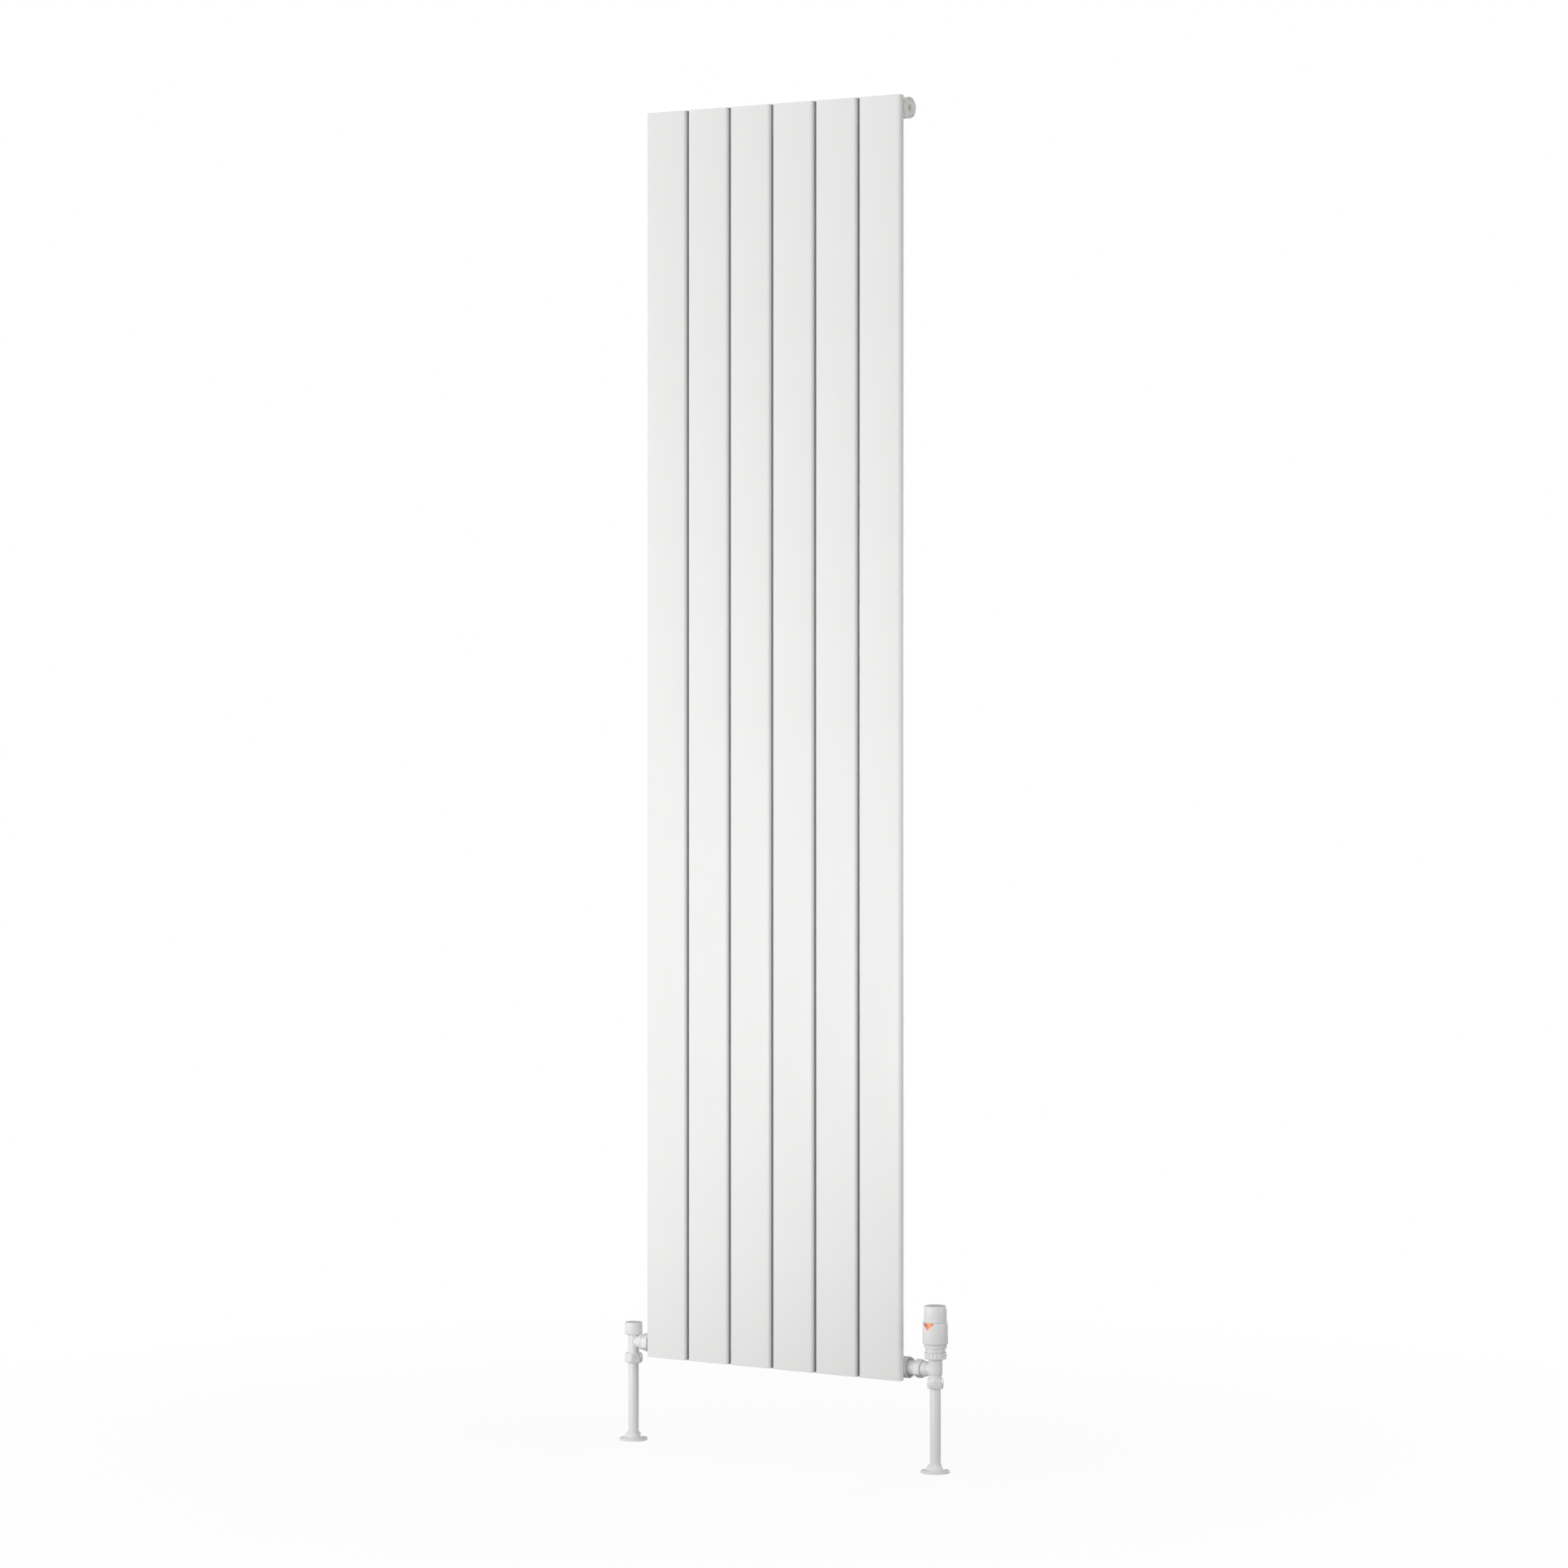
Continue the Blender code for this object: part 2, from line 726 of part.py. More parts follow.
def make_pointer(name, grow, inner, outer):
    """An inverted triangle with a blunt tip, facing the front, between two radii."""
    side = POINTER_HALF_WIDTH + grow * 1.6
    tip = POINTER_TIP - grow
    outline = [
        (-side, POINTER_TOP + grow),
        (-1.9 - grow, tip + 0.8),
        (0, tip),
        (1.9 + grow, tip + 0.8),
        (side, POINTER_TOP + grow),
    ]
    pointer = prism(name, outline, -20.0, -10.0)
    pointer.data.transform(Matrix(((1, 0, 0, 0), (0, 0, 1, 0), (0, 1, 0, 0), (0, 0, 0, 1))))
    pointer.data.flip_normals()
    pointer.data.transform(Matrix.Rotation(math.radians(POINTER_TURN), 4, "Z"))
    low = POINTER_TIP - 3.0
    high = POINTER_TOP + 3.0
    shell = turned("shell", [(inner, low), (outer, low), (outer, high), (inner, high)], FINE)
    return finish(combine(pointer, shell, "INTERSECT"), "copper")


def make_knob_sleeve():
    profile = [
        (14.6, 174.0),
        (15.4, 174.0),
        (CAP_RADIUS, 174.5),
        (CAP_RADIUS, 178.9),
        (KNOB_RADIUS, 180.8),
        (KNOB_RADIUS, SLEEVE_TOP - 0.4),
        (17.2, SLEEVE_TOP),
        (14.8, SLEEVE_TOP),
        (14.8, 196.5),
        (9.0, 196.5),
        (9.0, 193.9),
        (14.6, 193.9),
    ]
    sleeve = turned("trv_knob_sleeve", profile, FINE)
    cut(sleeve, make_pointer("pocket", FIT, KNOB_RADIUS - 0.9, KNOB_RADIUS + 2.0))
    return finish(sleeve, "white_plastic")


# ---------------------------------------------------------------- lockshield valve, left


def make_lockshield_body():
    outside = [
        (0, 119.0),
        (SPIGOT_RADIUS, 119.0),
        (SPIGOT_RADIUS, 126.2),
        (7.9, 127.3),
        (7.9, 156.3),
        (0, 156.3),
    ]
    body = on_pipe_axis(turned("lockshield_body", outside), "left")
    branch = [
        (0, BODY_END),
        (9.5, BODY_END),
        (9.5, 22.4),
        (11.6, 22.4),
        (11.6, 24.6),
        (6.6, 36.8),
        (6.6, BRANCH_REACH),
        (0, BRANCH_REACH),
    ]
    join(body, along_branch(turned("branch", branch, ROUND, "-X"), "left"))
    waterway = [
        (0, 118.0),
        (PIPE_RADIUS + FIT, 118.0),
        (PIPE_RADIUS + FIT, 124.8),
        (5.0, 124.8),
        (5.0, 136.6),
        (3.6, 136.6),
        (3.6, 138.2),
        (6.2, 138.2),
        (6.2, 157.0),
        (0, 157.0),
    ]
    cut(body, on_pipe_axis(turned("waterway", waterway), "left"))
    cut(body, along_branch(rod(4.4, BODY_END - 1, BRANCH_REACH, COARSE, "-X"), "left"))
    finish(body, "white_paint")


def make_lockshield_insert():
    washer = [(0, 140.0), (5.6, 140.0), (5.6, 143.2), (2.3, 143.2), (2.3, 141.2), (0, 141.2)]
    on_pipe_axis(finish(turned("lockshield_washer", washer, COARSE), "black_rubber"), "left")
    spindle_profile = [
        (0, 141.5),
        (2.0, 141.5),
        (2.0, 147.5),
        (5.9, 147.5),
        (5.9, 151.5),
        (2.5, 151.5),
        (2.5, 162.3),
        (0, 162.3),
    ]
    spindle = turned("lockshield_spindle", spindle_profile, ROUND)
    cut(spindle, rod(1.6, 159.0, 163.0, 6))
    on_pipe_axis(finish(spindle, "brass"), "left")
    gland = prism("lockshield_gland_nut", hexagon(13.0), 156.6, 160.0)
    join(gland, rod(5.9, 153.6, 157.0))
    cut(gland, rod(2.8, 153.0, 161.0))
    cut(gland, rod(4.5, 158.0, 161.0))
    on_pipe_axis(finish(gland, "brass"), "left")
    seal = [(2.8, 158.3), (4.2, 158.3), (4.2, 159.7), (2.8, 159.7)]
    on_pipe_axis(finish(turned("lockshield_gland_seal", seal, ROUND), "black_rubber"), "left")


def make_lockshield_cap():
    profile = [
        (8.3, 152.8),
        (10.8, 153.0),
        (12.8, 155.0),
        (12.8, 170.4),
        (11.7, 171.5),
        (0, 171.5),
        (0, 169.9),
        (11.2, 169.9),
        (11.2, 156.0),
        (8.3, 154.4),
    ]
    on_pipe_axis(finish(turned("lockshield_cap", profile, FINE), "white_plastic"), "left")


def main():
    clear_scene()
    make_panels()
    make_headers()
    make_end_bushes()
    make_blanking_plug()
    make_air_vent()
    make_brackets()
    for prefix, side in (("trv", "right"), ("lockshield", "left")):
        make_union(prefix, side)
        make_collar(side)
    make_compression_joint("trv", "right", 21.0, 117.8, 131.2, 124.7)
    make_compression_joint("lockshield", "left", 23.6, 112.1, 126.9, 119.0)
    make_pipe("right", 134.0)
    make_pipe("left", 124.5)
    make_trv_body()
    make_trv_insert()
    make_stem_spring()
    make_trv_ring_nut()
    make_trv_head()
    make_lockshield_body()
    make_lockshield_insert()
    make_lockshield_cap()


main()
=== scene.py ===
"""Looks of a vertical flat-panel radiator with a thermostatic and a lockshield valve."""

import math

import bmesh
import bpy
from mathutils import Matrix, Vector


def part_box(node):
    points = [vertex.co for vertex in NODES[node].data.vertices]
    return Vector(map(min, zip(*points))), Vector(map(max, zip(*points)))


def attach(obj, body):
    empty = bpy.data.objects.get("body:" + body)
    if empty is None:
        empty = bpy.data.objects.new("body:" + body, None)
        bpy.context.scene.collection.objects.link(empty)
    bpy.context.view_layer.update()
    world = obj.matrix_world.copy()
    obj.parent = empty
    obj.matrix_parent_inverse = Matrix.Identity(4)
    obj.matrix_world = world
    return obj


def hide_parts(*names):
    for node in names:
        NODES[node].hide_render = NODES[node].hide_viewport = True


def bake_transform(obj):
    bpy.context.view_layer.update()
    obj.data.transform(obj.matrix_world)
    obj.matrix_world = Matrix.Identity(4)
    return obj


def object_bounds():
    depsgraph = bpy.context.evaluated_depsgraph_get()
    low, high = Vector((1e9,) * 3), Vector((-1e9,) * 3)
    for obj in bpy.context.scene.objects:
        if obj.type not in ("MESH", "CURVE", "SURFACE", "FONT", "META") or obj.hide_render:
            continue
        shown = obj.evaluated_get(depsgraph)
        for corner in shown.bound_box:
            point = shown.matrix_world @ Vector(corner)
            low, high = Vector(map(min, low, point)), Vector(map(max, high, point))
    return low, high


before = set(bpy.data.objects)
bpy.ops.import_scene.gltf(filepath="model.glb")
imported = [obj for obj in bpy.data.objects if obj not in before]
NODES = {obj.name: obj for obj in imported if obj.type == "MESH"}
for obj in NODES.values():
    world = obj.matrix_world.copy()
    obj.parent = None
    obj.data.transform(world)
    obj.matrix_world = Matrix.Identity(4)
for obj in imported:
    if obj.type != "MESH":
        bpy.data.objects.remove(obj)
cad_low, cad_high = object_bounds()

MM = 0.001
ROOT = "radiator"


def centre(node):
    low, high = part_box(node)
    return (low + high) / 2


HEADER_LOW = centre("header_bottom")
HEADER_HIGH = centre("header_top")
HALF_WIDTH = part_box("header_bottom")[1].x
PIPE = {"left": centre("pipe_left"), "right": centre("pipe_right")}
BRANCH_REACH = (abs(PIPE["right"].x) - HALF_WIDTH) / MM
SIDES = {"left": (-1, "-X"), "right": (1, "+X")}
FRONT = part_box("panel_1")[0].y


# ---------------------------------------------------------------- mesh helpers

AXES = {
    "+Z": Matrix.Identity(4),
    "+X": Matrix.Rotation(math.radians(90), 4, "Y"),
    "-X": Matrix.Rotation(math.radians(-90), 4, "Y"),
    "+Y": Matrix.Rotation(math.radians(-90), 4, "X"),
}
YZ_ALONG_X = Matrix(((0, 0, 1, 0), (1, 0, 0, 0), (0, 1, 0, 0), (0, 0, 0, 1)))


def add_object(name, bm, turn=None):
    bmesh.ops.recalc_face_normals(bm, faces=bm.faces)
    if turn is not None:
        bmesh.ops.transform(bm, matrix=turn, verts=bm.verts)
    mesh = bpy.data.meshes.new(name)
    bm.to_mesh(mesh)
    bm.free()
    made = bpy.data.objects.new(name, mesh)
    bpy.context.scene.collection.objects.link(made)
    return made


def rounded(corners):
    """Corners (x, y, fillet radius) as points, each corner turned by an arc of its fillet."""
    points = []
    count = len(corners)
    for index, (x, y, fillet) in enumerate(corners):
        here = Vector((x, y))
        if fillet <= 0:
            points.append((x, y))
            continue
        before = Vector(corners[index - 1][:2]) - here
        after = Vector(corners[(index + 1) % count][:2]) - here
        opening = before.angle(after)
        reach = min(fillet / math.tan(opening / 2), 0.48 * before.length, 0.48 * after.length)
        radius = reach * math.tan(opening / 2)
        start = here + before.normalized() * reach
        end = here + after.normalized() * reach
        middle = here + (before.normalized() + after.normalized()).normalized() * (
            radius / math.sin(opening / 2)
        )
        steps = max(1, round((math.pi - opening) / math.radians(22)))
        arm = start - middle
        sweep = arm.angle_signed(end - middle)
        for step in range(steps + 1):
            points.append(tuple(middle + Matrix.Rotation(-sweep * step / steps, 2) @ arm))
    return points


def circle(radius, count, first=0.0):
    return [
        (radius * math.cos(first + math.tau * i / count), radius * math.sin(first + math.tau * i / count))
        for i in range(count)
    ]


def turned(name, corners, axis="+Z", segments=64):
    """A closed profile of (radius, height, fillet) corners in millimetres, spun round an axis."""
    bm = bmesh.new()
    profile = rounded(corners)
    points = [bm.verts.new((max(r, 0.0) * MM, 0.0, h * MM)) for r, h in profile]
    edges = []
    for first, second in zip(points, points[1:] + points[:1]):
        if first.co.x > 1e-9 or second.co.x > 1e-9:
            edges.append(bm.edges.new((first, second)))
    round_z = {"cent": (0, 0, 0), "axis": (0, 0, 1), "angle": math.tau}
    bmesh.ops.spin(bm, geom=points + edges, steps=segments, use_merge=True, **round_z)
    bmesh.ops.remove_doubles(bm, verts=bm.verts, dist=0.0005 * MM)
    return add_object(name, bm, AXES[axis])


def prism(name, outline, low, high, turn=None):
    bm = bmesh.new()
    face = bm.faces.new([bm.verts.new((x * MM, y * MM, low * MM)) for x, y in outline])
    grown = bmesh.ops.extrude_face_region(bm, geom=[face])["geom"]
    raised = [item for item in grown if isinstance(item, bmesh.types.BMVert)]
    bmesh.ops.translate(bm, verts=raised, vec=(0, 0, (high - low) * MM))
    return add_object(name, bm, turn)


def ring_of(bm, middle, across, along, sides=10):
    """An ellipse of points round the middle, spanned by two half-axes."""
    turns = [math.tau * k / sides for k in range(sides)]
    return [bm.verts.new(middle + across * math.cos(turn) + along * math.sin(turn)) for turn in turns]


def lofted(bm, rings, closed):
    """Faces between each ring of points and the next; an open run gets end caps, a closed one joins up."""
    following = rings[1:] + rings[:1] if closed else rings[1:]
    for here, there in zip(rings, following):
        for k in range(len(here)):
            after = (k + 1) % len(here)
            bm.faces.new((here[k], here[after], there[after], there[k]))
    if not closed:
        bm.faces.new(rings[0][::-1])
        bm.faces.new(rings[-1])


def applied(piece):
    """Turns the piece's modifiers into mesh."""
    bpy.context.view_layer.update()
    graph = bpy.context.evaluated_depsgraph_get()
    result = bpy.data.meshes.new_from_object(piece.evaluated_get(graph))
    piece.modifiers.clear()
    piece.data = result
    return piece


def combine(piece, other, operation):
    boolean = piece.modifiers.new(operation.lower(), "BOOLEAN")
    boolean.operation = operation
    boolean.object = other
    applied(piece)
    bpy.data.objects.remove(other)
    return piece


def bevelled(piece, width, segments=3, angle=40):
    """Rounds every edge sharper than the angle."""
    weld = piece.modifiers.new("weld", "WELD")
    weld.merge_threshold = 0.001 * MM
    bevel = piece.modifiers.new("bevel", "BEVEL")
    bevel.width = width * MM
    bevel.segments = segments
    bevel.limit_method = "ANGLE"
    bevel.angle_limit = math.radians(angle)
    bevel.harden_normals = True
    return applied(piece)


def place(piece, x, y, z):
    piece.location = (x, y, z)
    return piece


def show(piece, body, finish, slot, *nodes):
    """Finishes a piece: its material, smooth shading, the body that it rides on, and what it replaces."""
    piece.data.materials.clear()
    piece.data.materials.append(finish)
    piece.data.shade_smooth()
    piece.data.set_sharp_from_angle(angle=math.radians(32))
    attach(piece, body)
    if nodes:
        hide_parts(*nodes)
    return piece


# ---------------------------------------------------------------- materials


class Graph:
    """Short calls for a material's nodes."""

    def __init__(self, material):
        self.material = material
        self.material.use_nodes = True
        self.tree = self.material.node_tree
        self.shader = self.tree.nodes["Principled BSDF"]

    def node(self, kind, **values):
        made = self.tree.nodes.new(kind)
        for key, value in values.items():
            if hasattr(made, key):
                setattr(made, key, value)
            else:
                made.inputs[key.replace("_", " ")].default_value = value
        return made

    def link(self, source, target):
        self.tree.links.new(source, target)

    def position(self):
        return self.node("ShaderNodeTexCoord").outputs["Object"]

    def noise(self, scale, detail=2.0, roughness=0.5, stretch=None):
        made = self.node("ShaderNodeTexNoise", Scale=scale, Detail=detail, Roughness=roughness)
        place_at = self.position()
        if stretch:
            mapping = self.node("ShaderNodeMapping", Scale=stretch)
            self.link(place_at, mapping.inputs["Vector"])
            place_at = mapping.outputs["Vector"]
        self.link(place_at, made.inputs["Vector"])
        return made.outputs["Fac"]

    def ranged(self, source, low, high, from_low=0.3, from_high=0.7):
        made = self.node("ShaderNodeMapRange")
        made.inputs["From Min"].default_value = from_low
        made.inputs["From Max"].default_value = from_high
        made.inputs["To Min"].default_value = low
        made.inputs["To Max"].default_value = high
        self.link(source, made.inputs["Value"])
        return made.outputs["Result"]

    def mixed(self, share, first, second):
        """Mixes two colours, each a tuple or another node's output."""
        made = self.node("ShaderNodeMix", data_type="RGBA")
        ends = [item for item in made.inputs if item.type == "RGBA"]
        for end, colour in zip(ends, (first, second)):
            if isinstance(colour, tuple):
                end.default_value = (*colour, 1.0)
            else:
                self.link(colour, end)
        self.link(share, made.inputs["Factor"])
        return [item for item in made.outputs if item.type == "RGBA"][0]

    def bump(self, *layers):
        """Layers of (height source, strength, distance in millimetres), chained."""
        normal = None
        for source, strength, distance in layers:
            made = self.node("ShaderNodeBump", Strength=strength, Distance=distance * MM)
            self.link(source, made.inputs["Height"])
            if normal:
                self.link(normal, made.inputs["Normal"])
            normal = made.outputs["Normal"]
        self.link(normal, self.shader.inputs["Normal"])


def painted(name, light, dark, gloss, peel_size, peel_depth, coat):
    """Powder coat: faint cloudy tone, patchy gloss and an orange-peel surface."""
    g = Graph(bpy.data.materials.new(name))
    cloud = g.noise(9.0, 4.0, 0.55)
    g.link(g.mixed(g.ranged(cloud, 0.0, 1.0), light, dark), g.shader.inputs["Base Color"])
    patch = g.noise(60.0, 3.0)
    g.link(g.ranged(patch, gloss - 0.04, gloss + 0.05), g.shader.inputs["Roughness"])
    peel = g.noise(1.0 / (peel_size * MM), 1.5, 0.45)
    wave = g.noise(70.0, 1.0)
    g.bump((wave, 0.25, 0.12), (peel, 0.5, peel_depth))
    g.shader.inputs["Coat Weight"].default_value = coat
    g.shader.inputs["Coat Roughness"].default_value = 0.3
    g.shader.inputs["Specular IOR Level"].default_value = 0.45
    return g.material


# Painted shade: the grey that the rear of each flank facing a neighbouring panel is mixed towards, to darken
# the gaps.
PAINTED_SHADE_GREY = (0.45, 0.45, 0.45)
FLANK_REACH = (0.8, 0.2)  # inside the panel's side: where the grey starts, and where it is full
REAR_REACH = (3.4, 5.0)  # behind the panel's front: the same


def paint_gap_shade(material, half_width, left, right):
    """Paints shade into the base colour: greys the rear of the flanks that face a neighbouring panel, a
    painted shadow that deepens the gap.
    """
    g = Graph(material)
    unshaded = g.shader.inputs["Base Color"].links[0].from_socket
    split = g.node("ShaderNodeSeparateXYZ")
    g.link(g.position(), split.inputs["Vector"])
    edge, flank = ((half_width - inside) * MM for inside in FLANK_REACH)
    to_right = g.ranged(split.outputs["X"], 0.0, 1.0 if right else 0.0, edge, flank)
    to_left = g.ranged(split.outputs["X"], 1.0 if left else 0.0, 0.0, -flank, -edge)
    rear = g.ranged(split.outputs["Y"], 0.0, 1.0, *(depth * MM for depth in REAR_REACH))
    sides = g.node("ShaderNodeMath", operation="MAXIMUM")
    g.link(to_right, sides.inputs[0])
    g.link(to_left, sides.inputs[1])
    # How much painted shade: full only at the rear of a flank that faces a neighbour.
    share = g.node("ShaderNodeMath", operation="MULTIPLY")
    g.link(sides.outputs["Value"], share.inputs[0])
    g.link(rear, share.inputs[1])
    g.link(g.mixed(share.outputs["Value"], unshaded, PAINTED_SHADE_GREY), g.shader.inputs["Base Color"])
    return material


def moulded(name, light, dark, gloss, grain_size, grain_depth):
    """Moulded plastic: even colour, fine texture and a slight flow pattern."""
    g = Graph(bpy.data.materials.new(name))
    flow = g.noise(45.0, 3.0, 0.5, (1.0, 1.0, 0.3))
    g.link(g.mixed(g.ranged(flow, 0.0, 1.0), light, dark), g.shader.inputs["Base Color"])
    fine = g.noise(1.0 / (grain_size * MM), 3.0, 0.6)
    g.link(g.ranged(fine, gloss - 0.04, gloss + 0.06), g.shader.inputs["Roughness"])
    g.bump((fine, 0.35, grain_depth))
    g.shader.inputs["Specular IOR Level"].default_value = 0.5
    g.shader.inputs["IOR"].default_value = 1.49
    return g.material


def machined(name, light, dark, gloss, ring_pitch, axis_stretch):
    """Bare metal with turning marks across one axis and faint tarnish."""
    g = Graph(bpy.data.materials.new(name))
    tarnish = g.noise(220.0, 5.0, 0.6)
    g.link(g.mixed(g.ranged(tarnish, 0.0, 1.0), light, dark), g.shader.inputs["Base Color"])
    marks = g.noise(1.0 / (ring_pitch * MM), 2.0, 0.6, axis_stretch)
    g.link(g.ranged(marks, gloss - 0.08, gloss + 0.12), g.shader.inputs["Roughness"])
    g.bump((marks, 0.4, 0.02))
    g.shader.inputs["Metallic"].default_value = 1.0
    g.shader.inputs["Anisotropic"].default_value = 0.35
    return g.material


def rubbery(name, light, dark, gloss):
    """Matt rubber or nylon with a dry, finely pitted surface."""
    g = Graph(bpy.data.materials.new(name))
    bloom = g.noise(300.0, 4.0, 0.6)
    g.link(g.mixed(g.ranged(bloom, 0.0, 1.0), light, dark), g.shader.inputs["Base Color"])
    pits = g.noise(2500.0, 3.0, 0.6)
    g.link(g.ranged(pits, gloss - 0.06, gloss + 0.06), g.shader.inputs["Roughness"])
    g.bump((pits, 0.4, 0.03))
    return g.material


ACROSS_Z = (0.06, 0.06, 1.0)
ACROSS_X = (1.0, 0.06, 0.06)

PANEL_COAT = ((0.875, 0.875, 0.868), (0.86, 0.86, 0.852), 0.42, 1.3, 0.03, 0.12)
PANEL_PAINT = painted("panel_powder_coat", *PANEL_COAT)
HEADER_PAINT = painted("header_powder_coat", (0.87, 0.87, 0.862), (0.85, 0.85, 0.842), 0.44, 1.1, 0.035, 0.1)
VALVE_PAINT = painted("valve_enamel", (0.87, 0.87, 0.865), (0.85, 0.85, 0.845), 0.36, 0.8, 0.02, 0.2)
PIPE_PAINT = painted("pipe_enamel", (0.865, 0.865, 0.86), (0.845, 0.845, 0.84), 0.38, 1.0, 0.02, 0.2)
BRACKET_PAINT = painted("bracket_powder_coat", (0.86, 0.86, 0.85), (0.83, 0.83, 0.82), 0.5, 1.2, 0.04, 0.05)
HEAD_PLASTIC = moulded("head_plastic", (0.87, 0.87, 0.865), (0.855, 0.855, 0.85), 0.34, 0.35, 0.01)
COLLAR_PLASTIC = moulded("collar_plastic", (0.865, 0.865, 0.86), (0.85, 0.85, 0.845), 0.38, 0.45, 0.012)
PLUG_PLASTIC = moulded("plug_plastic", (0.87, 0.845, 0.81), (0.845, 0.82, 0.785), 0.48, 0.4, 0.02)
COPPER = machined("pointer_copper", (0.74, 0.27, 0.14), (0.64, 0.20, 0.09), 0.34, 0.25, ACROSS_Z)
BRASS_Z = machined("brass_turned", (0.78, 0.58, 0.28), (0.66, 0.46, 0.20), 0.3, 0.3, ACROSS_Z)
BRASS_X = machined("brass_turned_across", (0.78, 0.58, 0.28), (0.66, 0.46, 0.20), 0.3, 0.3, ACROSS_X)
STEEL_Z = machined("steel_turned", (0.62, 0.62, 0.63), (0.5, 0.5, 0.52), 0.32, 0.3, ACROSS_Z)
STEEL_X = machined("steel_turned_across", (0.62, 0.62, 0.63), (0.5, 0.5, 0.52), 0.32, 0.3, ACROSS_X)
RUBBER = rubbery("seal_rubber", (0.035, 0.035, 0.036), (0.02, 0.02, 0.021), 0.75)
NYLON = rubbery("isolator_nylon", (0.37, 0.37, 0.38), (0.33, 0.33, 0.34), 0.55)


# ---------------------------------------------------------------- radiator

PANEL_LOW, PANEL_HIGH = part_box("panel_1")
PANEL_WIDTH = (PANEL_HIGH.x - PANEL_LOW.x) / MM
PANEL_DEPTH = 11.0
FRONT_FILLET = 4.5
REAR_FILLET = 2.5
HEADER_RADIUS = 15.0
HEADER_BORE = 13.4
PORT_HALF_WIDTH = 14.0
PORT_HALF_HEIGHT = 6.2
PIN_Y = 2.0
PANEL_HEIGHT = (PANEL_HIGH.z - PANEL_LOW.z) / MM
PANEL_COUNT = 6
LUG_PANELS = (2, 5)


# Each panel gets its own paint, with painted shade on the rear of the flanks that face a neighbour; the
# outer flanks stay unshaded.
def panel_paint_with_shade(number):
    paint = painted(f"panel_{number}_powder_coat_painted_shade", *PANEL_COAT)
    return paint_gap_shade(paint, PANEL_WIDTH / 2, number > 1, number < PANEL_COUNT)


def make_panel(number):
    """A flat tube with softly rounded front edges and ground end caps."""
    node = f"panel_{number}"
    side = PANEL_WIDTH / 2
    front = [(-side, 0.0, FRONT_FILLET), (side, 0.0, FRONT_FILLET)]
    rear = [(side, PANEL_DEPTH, REAR_FILLET), (-side, PANEL_DEPTH, REAR_FILLET)]
    outline = rounded(front + rear)
    tube = prism(f"{node}_tube", outline, 0.0, PANEL_HEIGHT)
    bevelled(tube, 0.7, 3, 60)
    low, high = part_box(node)
    place(tube, (low.x + high.x) / 2, low.y, low.z)
    show(tube, ROOT, panel_paint_with_shade(number), "white_paint", node)


def make_header(level, middle):
    half = HALF_WIDTH / MM
    left_end = [(HEADER_BORE, -half, 0.3), (HEADER_RADIUS, -half, 0.7)]
    right_end = [(HEADER_RADIUS, half, 0.7), (HEADER_BORE, half, 0.3)]
    corners = left_end + right_end
    tube = turned(f"header_{level}_tube", corners, "+X", 64)
    place(tube, 0.0, middle.y, middle.z)
    show(tube, ROOT, HEADER_PAINT, "white_paint", f"header_{level}")


def make_port_welds(level, middle):
    """A fillet weld round each panel's port, where the panel's back meets the header."""
    bm = bmesh.new()
    turns = 56
    for number in range(1, PANEL_COUNT + 1):
        x = centre(f"panel_{number}").x
        rings = []
        for i in range(turns):
            angle = math.tau * i / turns
            ripple = 1.0 + 0.10 * math.sin(14 * angle + number) + 0.05 * math.sin(31 * angle)
            rise = PORT_HALF_HEIGHT * math.sin(angle)
            depth = HEADER_RADIUS - math.sqrt(HEADER_RADIUS**2 - rise**2)
            behind = FRONT + (PANEL_DEPTH + 0.35 + depth * 0.45) * MM
            base = Vector((x + PORT_HALF_WIDTH * math.cos(angle) * MM, behind, middle.z + rise * MM))
            slope = (math.cos(angle) / PORT_HALF_WIDTH, 0, math.sin(angle) / PORT_HALF_HEIGHT)
            swell = (1.15 * ripple + 0.35 * depth) * MM
            across = Vector(slope).normalized() * swell
            rings.append(ring_of(bm, base, across, Vector((0, 0.8 * swell, 0))))
        lofted(bm, rings, True)
    welds = add_object(f"header_{level}_welds", bm)
    show(welds, ROOT, HEADER_PAINT, "white_paint")


def make_end_bush(level, side):
    node = f"end_bush_{level}_{side}"
    sign, axis = SIDES[side]
    corners = [
        (9.2, -16.0, 0.0),
        (13.1, -16.0, 0.4),
        (13.1, 0.0, 0.25),
        (12.0, 0.0, 0.25),
        (12.0, -3.2, 0.1),
        (9.2, -3.2, 0.5),
    ]
    bush = turned(f"{node}_ring", corners, axis, 56)
    middle = HEADER_LOW if level == "bottom" else HEADER_HIGH
    place(bush, sign * HALF_WIDTH, middle.y, middle.z)
    show(bush, ROOT, HEADER_PAINT, "white_paint", node)


def make_blanking_plug():
    corners = [
        (0.0, -13.0, 0.0),
        (8.9, -13.0, 0.6),
        (8.9, -1.6, 0.1),
        (11.7, -1.6, 0.2),
        (11.7, 0.0, 0.45),
        (6.8, 0.0, 0.2),
        (6.8, -0.6, 0.15),
        (0.0, -0.6, 0.0),
    ]
    plug = turned("blanking_plug_disc", corners, "+X", 64)
    socket = prism("socket", circle(4.62, 6), -6.0, 1.0, AXES["+X"])
    combine(plug, socket, "DIFFERENCE")
    place(plug, HALF_WIDTH, HEADER_HIGH.y, HEADER_HIGH.z)
    show(plug, ROOT, PLUG_PLASTIC, "cream_plastic", "blanking_plug")


